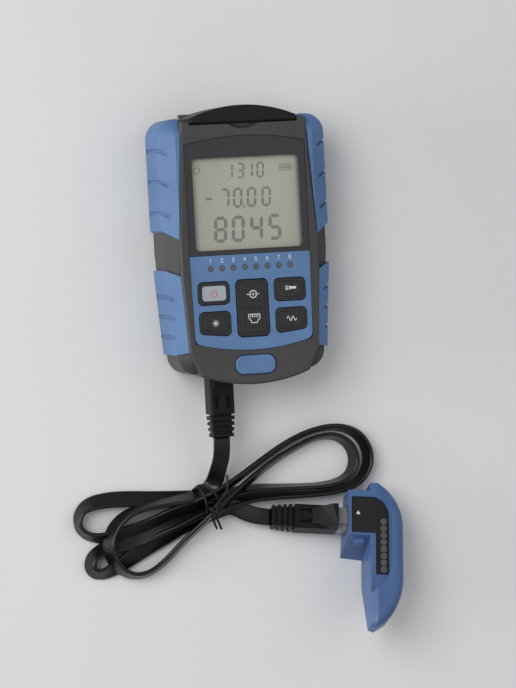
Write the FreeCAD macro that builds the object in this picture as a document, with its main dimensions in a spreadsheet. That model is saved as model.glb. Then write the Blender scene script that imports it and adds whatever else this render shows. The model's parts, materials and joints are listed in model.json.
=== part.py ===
"""Handheld optical power meter with its flat patch cord and plug-in remote unit.

The meter lies on its back: +X to its right, +Y to its top end, +Z out of its face.
The origin is the centre of the flat back. All sizes are millimetres.
"""
import FreeCAD, Part
import Sketcher
import math
import os
import re

os.makedirs("parts", exist_ok=True)
doc = FreeCAD.newDocument("optical_power_meter")
sheet = doc.addObject("Spreadsheet::Sheet", "sizes")
FINISHED = []


# ---------------------------------------------------------------- driving sizes

SIZES = {
    # Housing outline
    "half_wide": 43.0, "low_taper": 4.3, "top_edge": 64.0, "low_edge": 64.9,
    "waist_level": 3.0, "outline_radius": 9.5, "split_height": 18.0, "face_height": 36.0,
    "rim_rise": 1.0, "wall": 2.2, "grip_thick": 1.6, "grip_rise": 0.8, "step_drop": 9.0,
    "floor_step": 7.0, "floor_inset": 5.5, "key_room_gap": 5.72,
    # Housing edges
    "front_bevel_wide": 7.9, "front_bevel_high": 6.0, "rear_bevel": 6.0,
    "edge_softness": 1.5, "face_bevel": 0.9,
    # Raised face
    "face_top_half": 32.2, "face_waist_half": 35.6, "face_waist_top": 4.0,
    "face_waist_low": 14.0, "face_low_half": 33.3, "face_low_level": 52.0,
    "tongue_half": 28.0, "tongue_level": 64.0, "tongue_tip": 69.4,
    # Grips
    "grip_foot": 5.5, "upper_grip_slant": 6.5, "lower_grip_slant": 4.5,
    "lower_grip_drop": 2.0, "notch_depth": 0.7, "notch_wide": 1.5, "notch_tilt": 33.0,
    "upper_notch": 47.0, "upper_notch_pitch": 15.5, "lower_notch": 25.0,
    "lower_notch_pitch": 9.5,
    # Display
    "panel_half": 31.0, "panel_top": 50.5, "panel_arch": 54.3, "panel_low": 4.4,
    "panel_thick": 1.0, "panel_recess": 1.4, "panel_gap": 0.15, "window_half": 27.4,
    "window_top": 43.7, "window_low": 2.0, "window_radius": 2.0, "lens_lap": 1.5,
    "glass_thick": 1.8, "glass_lap": 3.0, "backlight_thick": 2.6,
    # Keypad
    "keypad_low_half": 30.2, "keypad_corner": 47.8, "keypad_arc": 52.2,
    "keypad_radius": 4.0, "key_gap": 0.3, "key_proud": 1.5, "key_rim": 1.9,
    "plateau_rise": 0.4, "key_flange": 0.9, "flange_thick": 1.2, "key_travel": 0.6,
    "key_slack": 0.1, "side_key_x": 19.6, "side_key_wide": 15.8, "key_row_top": 17.6,
    "key_row_low": 28.8, "lower_row_top": 32.4, "lower_row_outer": 43.0,
    "lower_row_inner": 44.8, "key_radius": 2.4, "rocker_wide": 16.0, "rocker_top": 17.4,
    "rocker_low": 45.5, "rocker_gap": 0.45, "trunnion_radius": 0.6, "trunnion_reach": 1.6,
    "groove_half": 5.2, "groove_wide": 1.0,
    # Indicator lights
    "light_level": 11.0, "light_pitch": 5.83, "light_radius": 1.3, "light_gap": 0.15,
    "light_proud": 0.125,
    # Release button
    "release_level": 59.6, "release_long": 20.7, "release_wide": 9.6, "release_radius": 4.2,
    "release_gap": 0.35, "release_proud": 0.3, "release_travel": 1.0, "release_flange": 1.3,
    "release_slack": 0.2, "retainer_thick": 1.0, "spring_radius": 2.6, "spring_wire": 0.8,
    "spring_seat": 3.4,
    # Docking bay
    "bay_half": 28.0, "bay_level": 57.0, "bay_floor": 2.5, "bay_drop": 5.0,
    "pocket_left": 1.5, "pocket_level": 38.0,
    # Dust cover
    "cover_half": 27.5, "cover_low": 60.6, "cover_side": 63.7, "cover_top": 69.5,
    "cover_wall": 1.6, "cover_gap": 0.3, "cover_lip": 2.9, "cover_radius": 1.5,
    "hinge_level": 64.6, "hinge_height": 8.0, "knuckle_radius": 2.0, "knuckle_half": 21.5,
    "hinge_pin_radius": 0.9, "pin_gap": 0.1, "lug_wide": 4.0, "thumb_half": 8.5,
    "thumb_deep": 2.9,
    # Ports
    "port_x": 11.0, "port_drop": 12.0, "ferrule_radius": 1.26, "barrel_radius": 4.0,
    "port_flange_radius": 5.6, "port_flange_thick": 1.2, "barrel_end": 65.4,
    "barrel_root": 56.0, "bore_deep": 14.0, "detector_radius": 2.7, "detector_long": 5.0,
    "laser_radius": 3.2, "laser_long": 13.0, "torch_radius": 2.5, "torch_end": 65.5,
    # Boards
    "board_thick": 1.6, "board_height": 22.0, "board_inset": 9.2, "board_top": 36.0,
    "board_low": 32.0, "board_tail": 40.8, "keyboard_drop": 3.2, "keyboard_thick": 0.8,
    "amplifier_end": 25.6, "dome_high": 0.3, "dome_radius": 2.6,
    # Batteries
    "cell_radius": 5.2, "cell_long": 44.5, "cell_pitch": 11.4, "cell_low": 14.0,
    "cell_height": 8.6, "tray_wall": 1.5, "tray_gap": 1.8, "contact_thick": 0.4,
    "contact_half": 4.16, "door_thick": 1.8, "door_gap": 0.2,
    # Screws
    "screw_radius": 1.45, "screw_head_radius": 2.8, "screw_head_thick": 1.4,
    "screw_sunk": 0.4, "screw_end_gap": 1.2, "boss_radius": 3.0, "boss_inset": 11.0,
    "upper_boss_y": 31.0, "lower_boss_y": 27.0,
    # Network jack
    "jack_x": 15.3, "jack_drop": 8.4, "jack_wide": 16.0, "jack_high": 13.6,
    "jack_deep": 16.0, "jack_fit": 0.25, "jack_bore_wide": 12.0, "jack_bore_high": 7.0,
    "jack_bore_deep": 13.0, "latch_slot_wide": 6.6, "latch_slot_high": 2.2,
    # Plug and boot
    "plug_wide": 11.7, "plug_high": 6.6, "plug_nose": 12.0, "plug_tail": 9.5,
    "latch_wide": 6.0, "latch_thick": 1.1, "latch_tail": 6.5, "latch_root": 8.4,
    "boot_wide": 12.6, "boot_high": 11.6, "boot_start": 5.0, "boot_body": 22.0,
    "boot_reach": 38.5, "boot_radius": 1.2, "rib_count": 4, "rib_long": 1.7,
    "rib_first": 0.5, "rib_step": 0.2, "rib_tall": 1.6, "ear_long": 16.7, "neck_wide": 9.8,
    "neck_high": 6.6, "ear_gap": 6.8,
    # Remote unit
    "remote_half": 39.0, "remote_high": 28.0, "remote_belly": 16.8, "remote_bevel": 5.0,
    "rim_from": 1.0, "remote_wall": 2.0, "block_deep": 11.5, "block_back": 4.5,
    "block_long": 23.5, "block_foot": 4.8, "remote_roll": 20.0, "remote_lean": 8.0,
    "remote_turn": 9.2, "remote_x": 59.8, "remote_y": -170.9, "remote_lift": 1.2,
    "undercut_from": 10.0, "undercut_rise": 19.0, "rib_rise": 3.5, "rib_inner": 10.2,
    "rib_top": 17.0, "rib_bow_x": 8.9, "rib_bow_back": 11.0, "rib_tip": 2.4,
    "rib_bend": 5.0, "rib_foot_x": 7.9, "rib_foot": 12.5, "rib_end": 19.5,
    "wing_bevel": 3.0, "jack_back": 14.0,
    "remote_jack_height": 19.4, "remote_jack_deep": 14.5, "label_left": 9.7,
    "label_edge": 3.3, "label_margin": 1.2, "label_step": 2.6, "label_right": 9.6,
    "label_end": 9.5, "label_corner": 9.4, "label_bow_x": 7.5, "label_bow_back": 3.5,
    "label_thick": 0.5, "label_sunk": 0.9,
    "catch_rise": 3.2, "catch_out": 8.0, "catch_in": 2.9, "catch_low": 19.0,
    "catch_high": 23.8, "remote_board_thick": 1.2, "beacon_inset": 3.2,
    "beacon_pitch": 3.6, "beacon_x": 6.8, "beacon_radius": 1.0,
    # Remote unit outline
    "wing_end_x": 8.4, "wing_end_back": 5.8, "wing_bow_x": 14.3, "wing_bow_back": 15.6,
    "belly_from": 9.8, "belly_to": 17.6, "tip_bow_x": 12.1, "tip_bow_back": 7.8,
    "tip_wide": 3.7,
    # Cord
    "lead_radius": 1.8, "hank_height": 9.0, "tie_wire": 1.4, "knot_radius": 2.24, "knot_high": 2.8,
    "tail_lift": 1.68, "tie_x": -12.8,
    "tie_tail": 11.0, "tie_low": 138.5, "tie_high": 119.0, "tie_knot": 130.0,
    "tail_turn": 72.0, "tail_back": 78.0,
}

DERIVED = {
    "half_low": "(half_wide - low_taper)",
    "boss_x": "(half_wide - boss_inset)",
    "board_half": "(half_wide - board_inset)",
    "ceiling": "(face_height + rim_rise - panel_recess - wall)",
    "recess": "(face_height + rim_rise - panel_recess)",
    "face": "(face_height + rim_rise)",
    "step_height": "(face_height - step_drop)",
    "keyboard_height": "(ceiling - keyboard_drop)",
    "key_foot": "(keyboard_height + keyboard_thick + dome_high + key_travel + key_slack)",
    "bay_roof": "(ceiling - bay_drop)",
    "jack_height": "(bay_roof - jack_drop)",
    "port_height": "(face_height - port_drop)",
    "block_top": "(remote_half - block_back)",
    "block_side": "(block_top - block_long)",
    "remote_jack_level": "(block_top - jack_back)",
    "label_top": "(block_top - label_edge)",
    "label_side": "(block_side + label_margin)",
    "label_shoulder": "(label_top - label_corner)",
    "beacon_first": "(label_shoulder - beacon_inset)",
    "wing_end_y": "(remote_half - wing_end_back)",
    "wing_bow_y": "(remote_half - wing_bow_back)",
    "tip_bow_y": "(remote_half - tip_bow_back)",
}

for row, (name, number) in enumerate(SIZES.items(), 1):
    sheet.set(f"A{row}", name.replace("_", " "))
    sheet.set(f"B{row}", str(number))
    sheet.setAlias(f"B{row}", name)
doc.recompute()


def spell_out(found):
    """A derived size as the formula of the driving sizes behind it."""
    name = found.group(0)
    return re.sub(r"\w+", spell_out, DERIVED[name]) if name in DERIVED else name


def names_to_cells(formula):
    """A formula of size names as a spreadsheet expression."""
    driving = re.sub(r"\w+", spell_out, formula)
    return re.sub(r"\b([a-z]\w*)\b(?!\()", r"sizes.\1", driving)


def value(formula):
    """The number that a formula of size names gives."""
    result = sheet.evalExpression(names_to_cells(str(formula)))
    return float(getattr(result, "Value", result))


def bind(thing, **formulas):
    """Tie properties to formulas; a double underscore stands for a dot."""
    for path, formula in formulas.items():
        thing.setExpression(path.replace("__", "."), names_to_cells(str(formula)))
    return thing


# ------------------------------------------------------------- building helpers

def finish(thing, name):
    """Give a finished sub-part its name and list it for writing."""
    thing.Label = name
    FINISHED.append(thing)
    return thing


def box(name, x, y, z):
    """A block between two formulas along each axis."""
    block = doc.addObject("Part::Box", name)
    bind(block, Length=f"({x[1]}) - ({x[0]})", Width=f"({y[1]}) - ({y[0]})",
         Height=f"({z[1]}) - ({z[0]})", Placement__Base__x=x[0],
         Placement__Base__y=y[0], Placement__Base__z=z[0])
    return block


TURN_TO = {"x": FreeCAD.Rotation(FreeCAD.Vector(0, 1, 0), 90),
           "y": FreeCAD.Rotation(FreeCAD.Vector(1, 0, 0), -90),
           "z": FreeCAD.Rotation()}


def rod(name, axis, radius, start, length):
    """A cylinder from a start point along an axis."""
    cylinder = doc.addObject("Part::Cylinder", name)
    cylinder.Placement.Rotation = TURN_TO[axis]
    bind(cylinder, Radius=radius, Height=length, Placement__Base__x=start[0],
         Placement__Base__y=start[1], Placement__Base__z=start[2])
    return cylinder


def fuse(name, *shapes):
    joined = doc.addObject("Part::MultiFuse", name)
    joined.Shapes = list(shapes)
    return joined


def cut(name, base, *tools):
    """Take the tools away from the base."""
    taken = doc.addObject("Part::Cut", name)
    taken.Base = base
    taken.Tool = tools[0] if len(tools) == 1 else fuse(name + "_tools", *tools)
    return taken


def common(name, first, second):
    shared = doc.addObject("Part::MultiCommon", name)
    shared.Shapes = [first, second]
    return shared


def group(name, *shapes):
    """Separate like solids that share one node."""
    together = doc.addObject("Part::Compound", name)
    together.Links = list(shapes)
    return together


def body(name):
    return doc.addObject("PartDesign::Body", name)


def sketch(owner, name, height="0", plane="XY_Plane"):
    """A sketch on one of the body's own origin planes, lifted along its normal."""
    drawing = owner.newObject("Sketcher::SketchObject", name)
    base = next(f for f in owner.Origin.OriginFeatures if f.Role == plane)
    drawing.AttachmentSupport = [(base, "")]
    drawing.MapMode = "FlatFace"
    bind(drawing, AttachmentOffset__Base__z=height)
    return drawing


def pin_down(constraints, geometry, point, x, y):
    """Tie one point of a sketch to its two coordinate formulas."""
    for kind, formula in (("DistanceX", x), ("DistanceY", y)):
        constraint = Sketcher.Constraint(kind, -1, 1, geometry, point, value(formula))
        constraints.append((constraint, formula))


def write_constraints(drawing, constraints):
    drawing.addConstraint([c for c, _ in constraints])
    for index, (_, formula) in enumerate(constraints):
        if formula is not None:
            drawing.setExpression(f"Constraints[{index}]", names_to_cells(formula))


def outline(drawing, corners):
    """A closed outline. A corner with four formulas starts an arc through the last two."""
    at = [FreeCAD.Vector(value(c[0]), value(c[1]), 0) for c in corners]
    constraints = []
    edges = []
    for index, corner in enumerate(corners):
        after = at[(index + 1) % len(at)]
        if len(corner) == 2:
            edges.append(drawing.addGeometry(Part.LineSegment(at[index], after), False))
            continue
        middle = FreeCAD.Vector(value(corner[2]), value(corner[3]), 0)
        arc = Part.Arc(at[index], middle, after)
        edges.append(drawing.addGeometry(arc, False))
    ends = []
    for index, edge in enumerate(edges):
        first = drawing.getPoint(edge, 1)
        ends.append((1, 2) if first.distanceToPoint(at[index]) < 1e-6 else (2, 1))
    for index, corner in enumerate(corners):
        later = (index + 1) % len(corners)
        constraints.append((Sketcher.Constraint("Coincident", edges[index], ends[index][1],
                                                edges[later], ends[later][0]), None))
        pin_down(constraints, edges[index], ends[index][0], corner[0], corner[1])
        if len(corner) == 4:
            spot = FreeCAD.Vector(value(corner[2]), value(corner[3]), 0)
            dot = drawing.addGeometry(Part.Point(spot), True)
            constraints.append((Sketcher.Constraint("PointOnObject", dot, 1, edges[index]),
                                None))
            pin_down(constraints, dot, 1, corner[2], corner[3])
    write_constraints(drawing, constraints)
    return drawing


def rounded(drawing, corners, radius):
    """A closed outline of straight sides whose corners all have one radius."""
    at = [FreeCAD.Vector(value(x), value(y), 0) for x, y in corners]
    count = len(at)
    size = value(radius)
    sides, arcs = [], []
    trimmed = []
    for index in range(count):
        before = (at[index - 1] - at[index]).normalize()
        after = (at[(index + 1) % count] - at[index]).normalize()
        half = before.getAngle(after) / 2
        reach = size / math.tan(half)
        inward = (before + after).normalize() * (size / math.sin(half))
        centre = at[index] + inward
        trimmed.append((at[index] + before * reach, at[index] + after * reach, centre,
                        centre - inward.normalize() * size))
    for index in range(count):
        start, stop = trimmed[index][1], trimmed[(index + 1) % count][0]
        sides.append(drawing.addGeometry(Part.LineSegment(start, stop), False))
    ends = []
    for index in range(count):
        start, stop, _, middle = trimmed[index]
        arcs.append(drawing.addGeometry(Part.Arc(start, middle, stop), False))
        first = drawing.getPoint(arcs[-1], 1)
        ends.append((1, 2) if first.distanceToPoint(start) < 1e-6 else (2, 1))
    constraints = []
    for index in range(count):
        before, after = sides[index - 1], sides[index]
        spot = drawing.addGeometry(Part.Point(at[index]), True)
        pin_down(constraints, spot, 1, corners[index][0], corners[index][1])
        constraints.append((Sketcher.Constraint("PointOnObject", spot, 1, before), None))
        constraints.append((Sketcher.Constraint("PointOnObject", spot, 1, after), None))
        constraints.append((Sketcher.Constraint("Tangent", before, 2, arcs[index],
                                                ends[index][0]), None))
        constraints.append((Sketcher.Constraint("Tangent", arcs[index], ends[index][1],
                                                after, 1), None))
        constraints.append((Sketcher.Constraint("Radius", arcs[index], size), radius))
    write_constraints(drawing, constraints)
    return drawing


def rectangle(x0, x1, y0, y1):
    """The four corners of an upright rectangle, counter-clockwise."""
    return [(x0, y0), (x1, y0), (x1, y1), (x0, y1)]


def volume(feature):
    return feature.Shape.Volume


def pad(owner, drawing, length):
    added = owner.newObject("PartDesign::Pad", drawing.Name + "_pad")
    added.Profile = drawing
    bind(added, Length=length)
    drawing.Visibility = False
    doc.recompute()
    return added


def pocket(owner, drawing, length, up=False):
    """Cut a sketch into the body: downwards, or upwards when told."""
    before = volume(owner.Tip)
    taken = owner.newObject("PartDesign::Pocket", drawing.Name + "_pocket")
    taken.Profile = drawing
    taken.Reversed = up
    bind(taken, Length=length)
    doc.recompute()
    if volume(taken) > before - 1e-6:
        raise RuntimeError(f"{taken.Name} cuts nothing")
    return taken


def edges_where(feature, test):
    """Names of the edges of a feature that pass a test."""
    return [f"Edge{i}" for i, edge in enumerate(feature.Shape.Edges, 1) if test(edge)]


def soften(owner, kind, test, name, **formulas):
    """Add a Fillet or a Chamfer on the edges of the tip that pass a test."""
    base = owner.Tip
    picked = edges_where(base, test)
    if not picked:
        raise RuntimeError(f"{name} finds no edge")
    dressed = owner.newObject(f"PartDesign::{kind}", name)
    dressed.Base = (base, picked)
    if "Size2" in formulas:
        dressed.ChamferType = "Two distances"
    bind(dressed, **formulas)
    doc.recompute()
    return dressed


NEAR = 1e-4


def level(edge, height):
    """Whether an edge lies flat at a height."""
    return all(abs(v.Z - height) < NEAR for v in edge.Vertexes) and \
        abs(edge.BoundBox.ZLength) < NEAR


def upright(edge):
    """Whether an edge runs straight along Z."""
    flat = edge.BoundBox
    return flat.ZLength > NEAR and flat.XLength < NEAR and flat.YLength < NEAR


# -------------------------------------------------------------- housing envelope

def housing_corners(inset):
    """The outline of the housing, drawn in by an inset."""
    right = [(f"half_wide - ({inset})", f"top_edge - ({inset})"),
             (f"half_wide - ({inset})", "-waist_level"),
             (f"half_low - ({inset})", f"-low_edge + ({inset})")]
    left = [(f"-({x})", y) for x, y in reversed(right)]
    return right + left


def envelope(name, inset, top):
    """The full bevelled form of the housing at an inset, from the back up to a height."""
    form = body(name)
    plan = rounded(sketch(form, name + "_plan"), housing_corners(inset), "outline_radius")
    pad(form, plan, top)
    height = value(top)
    soften(form, "Chamfer", lambda e: level(e, height), name + "_front",
           Size="front_bevel_high", Size2="front_bevel_wide")
    soften(form, "Chamfer", lambda e: level(e, 0), name + "_rear", Size="rear_bevel")
    return form


def face_corners():
    """The raised face: it narrows to both ends and finishes in the curved tongue."""
    right = [("tongue_half", "-tongue_level"), ("face_low_half", "-face_low_level"),
             ("face_waist_half", "-face_waist_low"), ("face_waist_half", "face_waist_top"),
             ("face_top_half", "top_edge - grip_thick")]
    left = [(f"-({x})", y) for x, y in reversed(right)]
    left[-1] = left[-1] + ("0", "-tongue_tip")
    return right + left


def inner_corners(inset):
    """The inside of the case, which stops short of the docking bay."""
    wide = f"half_wide - grip_thick - ({inset})"
    low = f"half_low - grip_thick - ({inset})"
    top = f"top_edge - grip_thick - ({inset})"
    return [(f"-({low})", "-bay_level + wall"), ("pocket_left - wall", "-bay_level + wall"),
            ("pocket_left - wall", "-pocket_level + wall"), (low, "-pocket_level + wall"),
            (wide, "-waist_level"), (wide, top), (f"-({wide})", top),
            (f"-({wide})", "-waist_level")]


def bay_corners():
    """The docking bay, with the deep pocket for the remote unit's socket block."""
    mouth = "-tongue_tip - wall"
    return [("-bay_half", mouth), ("bay_half", mouth), ("bay_half", "-pocket_level"),
            ("pocket_left", "-pocket_level"), ("pocket_left", "-bay_level"),
            ("-bay_half", "-bay_level")]


def panel_corners(gap):
    """The recess in the face: arched at the top, rounded out at the bottom."""
    half, low = f"panel_half + {gap}", f"keypad_low_half + {gap}"
    return [(f"-({low})", f"-keypad_corner - {gap}", "0", f"-keypad_arc - {gap}"),
            (low, f"-keypad_corner - {gap}"), (half, "-panel_low"),
            (half, f"panel_top + {gap}", "0", f"panel_arch + {gap}"),
            (f"-({half})", f"panel_top + {gap}"), (f"-({half})", "-panel_low")]


def grown(corners, amount):
    """Corners moved outwards on both axes from the middle of their outline."""
    middle_x = sum(value(x) for x, _ in corners) / len(corners)
    middle_y = sum(value(y) for _, y in corners) / len(corners)
    moved = []
    for x, y in corners:
        sign_x = "+" if value(x) > middle_x else "-"
        sign_y = "+" if value(y) > middle_y else "-"
        moved.append((f"({x}) {sign_x} ({amount})", f"({y}) {sign_y} ({amount})"))
    return moved


def side_key(side, top, low_inner, low_outer):
    """A key of the side columns; side is -1 on the left and 1 on the right."""
    inner = f"{side} * (side_key_x - side_key_wide / 2)"
    outer = f"{side} * (side_key_x + side_key_wide / 2)"
    corners = [(inner, low_inner), (outer, low_outer), (outer, top), (inner, top)]
    return corners if side > 0 else corners[::-1]


UPPER_KEY = ("-key_row_top", "-key_row_low", "-key_row_low")
LOWER_KEY = ("-lower_row_top", "-lower_row_inner", "-lower_row_outer")
KEYS = {"power_key": side_key(-1, *UPPER_KEY), "laser_key": side_key(-1, *LOWER_KEY),
        "lamp_key": side_key(1, *UPPER_KEY), "wave_key": side_key(1, *LOWER_KEY)}
ROCKER = rectangle("-rocker_wide / 2", "rocker_wide / 2", "-rocker_low", "-rocker_top")
KEY_HOLES = [(name, corners, "key_gap") for name, corners in KEYS.items()]
KEY_HOLES.append(("rocker", ROCKER, "rocker_gap"))
RELEASE = rectangle("-release_long / 2", "release_long / 2",
                    "-release_level - release_wide / 2",
                    "-release_level + release_wide / 2")
WINDOW = rectangle("-window_half", "window_half", "-window_low", "window_top")
LIGHTS = [f"light_pitch * ({count} - 3.5)" for count in range(8)]
CASE_SCREWS = [("boss_x", "upper_boss_y"), ("-boss_x", "upper_boss_y"),
               ("boss_x", "-lower_boss_y"), ("-boss_x", "-lower_boss_y")]
JACK_SPACE = (("-jack_x - jack_wide / 2 - jack_fit", "-jack_x + jack_wide / 2 + jack_fit"),
              ("-bay_level - wall", "-bay_level + wall * 2"),
              ("jack_height - jack_high / 2 - jack_fit",
               "jack_height + jack_high / 2 + jack_fit"))
PORTS = {"meter_port": "port_x", "laser_port": "-port_x"}


# -------------------------------------------------------------------- the casing

def front_shell():
    shell = body("front_shell_body")
    plan = rounded(sketch(shell, "front_plan", "split_height"),
                   housing_corners("grip_thick"), "outline_radius")
    pad(shell, plan, "face_height - split_height")
    shoulder = value("face_height")
    soften(shell, "Chamfer", lambda e: level(e, shoulder), "shoulder_bevel",
           Size="front_bevel_high", Size2="front_bevel_wide")
    pad(shell, outline(sketch(shell, "face_plan", "bay_roof"), face_corners()),
        "face - bay_roof")
    face = value("face")
    soften(shell, "Chamfer", lambda e: level(e, face), "face_edge", Size="face_bevel")
    recess = outline(sketch(shell, "panel_recess_plan", "face"), panel_corners("panel_gap"))
    pocket(shell, recess, "panel_recess")
    inside = rounded(sketch(shell, "inside_plan", "split_height"), inner_corners("wall"),
                     "outline_radius - wall")
    pocket(shell, inside, "step_height - split_height", up=True)
    behind = rectangle("-panel_half", "panel_half", "-board_low", "bay_level + pocket_left")
    pocket(shell, outline(sketch(shell, "display_room", "ceiling"), behind),
           "ceiling - step_height")
    keys = rectangle("-panel_half", "panel_half", "-bay_level + key_room_gap", "-board_low")
    pocket(shell, outline(sketch(shell, "key_room", "ceiling"), keys),
           "ceiling - keyboard_height")
    lens = rounded(sketch(shell, "lens_opening", "recess"), grown(WINDOW, "lens_lap"),
                   "window_radius")
    pocket(shell, lens, "wall")
    for name, corners, gap in KEY_HOLES:
        hole = rounded(sketch(shell, f"{name}_hole", "recess"), grown(corners, gap),
                       f"key_radius + {gap}")
        pocket(shell, hole, "wall")
    release = rounded(sketch(shell, "release_hole", "face"), grown(RELEASE, "release_gap"),
                      "release_radius + release_gap")
    pocket(shell, release, "face - bay_roof")
    room = outline(sketch(shell, "release_room", "ceiling"),
                   grown(RELEASE, "release_gap + release_flange"))
    pocket(shell, room, "ceiling - bay_roof")
    pocket(shell, outline(sketch(shell, "front_bay", "split_height"), bay_corners()),
           "bay_roof - split_height", up=True)
    lip = rectangle("-cover_half - cover_gap", "cover_half + cover_gap",
                    "cover_low - cover_gap", "top_edge + wall")
    pocket(shell, outline(sketch(shell, "cover_seat", "face"), lip), "cover_lip + cover_gap")
    posts = [rod(f"post_{i}", "z", "boss_radius", (x, y, "board_height + board_thick"),
                 "step_height - board_height - board_thick + wall")
             for i, (x, y) in enumerate(CASE_SCREWS)]
    holes = [rod(f"post_bore_{i}", "z", "screw_radius", (x, y, "board_height"),
                 "step_height - board_height + wall")
             for i, (x, y) in enumerate(CASE_SCREWS)]
    for name, x in PORTS.items():
        holes.append(rod(name + "_hole", "y", "barrel_radius", (x, "barrel_root", "port_height"),
                         "top_edge - barrel_root"))
    holes.append(rod("torch_hole", "y", "torch_radius", ("0", "barrel_root", "port_height"),
                     "top_edge - barrel_root"))
    for i, x in enumerate(LIGHTS):
        holes.append(rod(f"light_hole_{i}", "z", "light_radius + light_gap",
                         (x, "-light_level", "ceiling - light_gap"), "wall * 2"))
    holes.append(box("front_jack_hole", *JACK_SPACE))
    scoop = doc.addObject("Part::Cone", "thumb_scoop")
    reach = "(thumb_half ^ 2 + thumb_deep ^ 2) / (2 * thumb_deep)"
    bind(scoop, Radius1=f"{reach} - cover_lip / 2", Radius2=reach, Height="cover_lip",
         Placement__Base__y=f"cover_low - thumb_deep + {reach}",
         Placement__Base__z="face - cover_lip")
    holes.append(scoop)
    finish(cut("front_shell", fuse("front_with_posts", shell, *posts), *holes),
           "front_shell")


def rear_shell():
    shell = body("rear_shell_body")
    plan = rounded(sketch(shell, "rear_plan"), housing_corners("grip_thick"),
                   "outline_radius")
    pad(shell, plan, "split_height")
    soften(shell, "Chamfer", lambda e: level(e, 0), "back_bevel", Size="rear_bevel")
    inside = rounded(sketch(shell, "rear_inside", "split_height"), inner_corners("wall"),
                     "outline_radius - wall")
    pocket(shell, inside, "split_height - floor_step")
    floor = rounded(sketch(shell, "rear_floor", "floor_step"),
                    inner_corners("wall + floor_inset"), "outline_radius - wall")
    pocket(shell, floor, "floor_step - wall")
    pocket(shell, outline(sketch(shell, "rear_bay", "split_height"), bay_corners()),
           "split_height - bay_floor")
    walls = rectangle(f"-({TRAY_HALF}) - tray_wall", f"{TRAY_HALF} + tray_wall",
                      f"{TRAY_LOW} - tray_wall", f"{TRAY_TOP} + tray_wall")
    pad(shell, outline(sketch(shell, "tray_walls", "wall / 2"), walls),
        f"{TRAY_ROOF} + tray_wall - wall / 2")
    room = rectangle(f"-({TRAY_HALF})", TRAY_HALF, TRAY_LOW, TRAY_TOP)
    pocket(shell, outline(sketch(shell, "tray_room"), room), TRAY_ROOF, up=True)
    ledge = grown(DOOR, "door_gap")
    pocket(shell, outline(sketch(shell, "door_seat"), ledge), "door_thick", up=True)
    bosses = [rod(f"boss_{i}", "z", "boss_radius", (x, y, "wall / 2"),
                  "board_height - wall / 2") for i, (x, y) in enumerate(CASE_SCREWS)]
    lug_start = "knuckle_half + cover_gap"
    for side, start in (("right", lug_start), ("left", f"-({lug_start}) - lug_wide")):
        end = f"({start}) + lug_wide"
        lug = box(f"lug_{side}", (start, end),
                  ("top_edge - grip_thick - wall", "hinge_level"),
                  ("hinge_height - knuckle_radius", "hinge_height + knuckle_radius"))
        eye = rod(f"lug_eye_{side}", "x", "knuckle_radius",
                  (start, "hinge_level", "hinge_height"), "lug_wide")
        bosses += [lug, eye]
    holes = [rod("lug_bore", "x", "hinge_pin_radius",
                 ("-knuckle_half - cover_gap - lug_wide", "hinge_level", "hinge_height"),
                 "2 * (knuckle_half + cover_gap + lug_wide)")]
    for i, (x, y) in enumerate(CASE_SCREWS):
        holes.append(rod(f"boss_bore_{i}", "z", "screw_radius", (x, y, "0"),
                         "board_height"))
        holes.append(rod(f"head_bore_{i}", "z", "screw_head_radius + door_gap", (x, y, "0"),
                         "screw_sunk + screw_head_thick"))
    holes.append(box("rear_jack_hole", *JACK_SPACE))
    finish(cut("rear_shell", fuse("rear_with_bosses", shell, *bosses), *holes),
           "rear_shell")


TRAY_HALF = "(cell_pitch + cell_radius + door_gap * 2)"
TRAY_LOW = "(-cell_low - tray_gap)"
TRAY_TOP = "(cell_long - cell_low + tray_gap)"
TRAY_ROOF = "(cell_height + cell_radius + door_gap)"
DOOR = rectangle(f"-{TRAY_HALF} - tray_wall", f"{TRAY_HALF} + tray_wall",
                 f"{TRAY_LOW} - tray_wall", f"{TRAY_TOP} + tray_wall")


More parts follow.
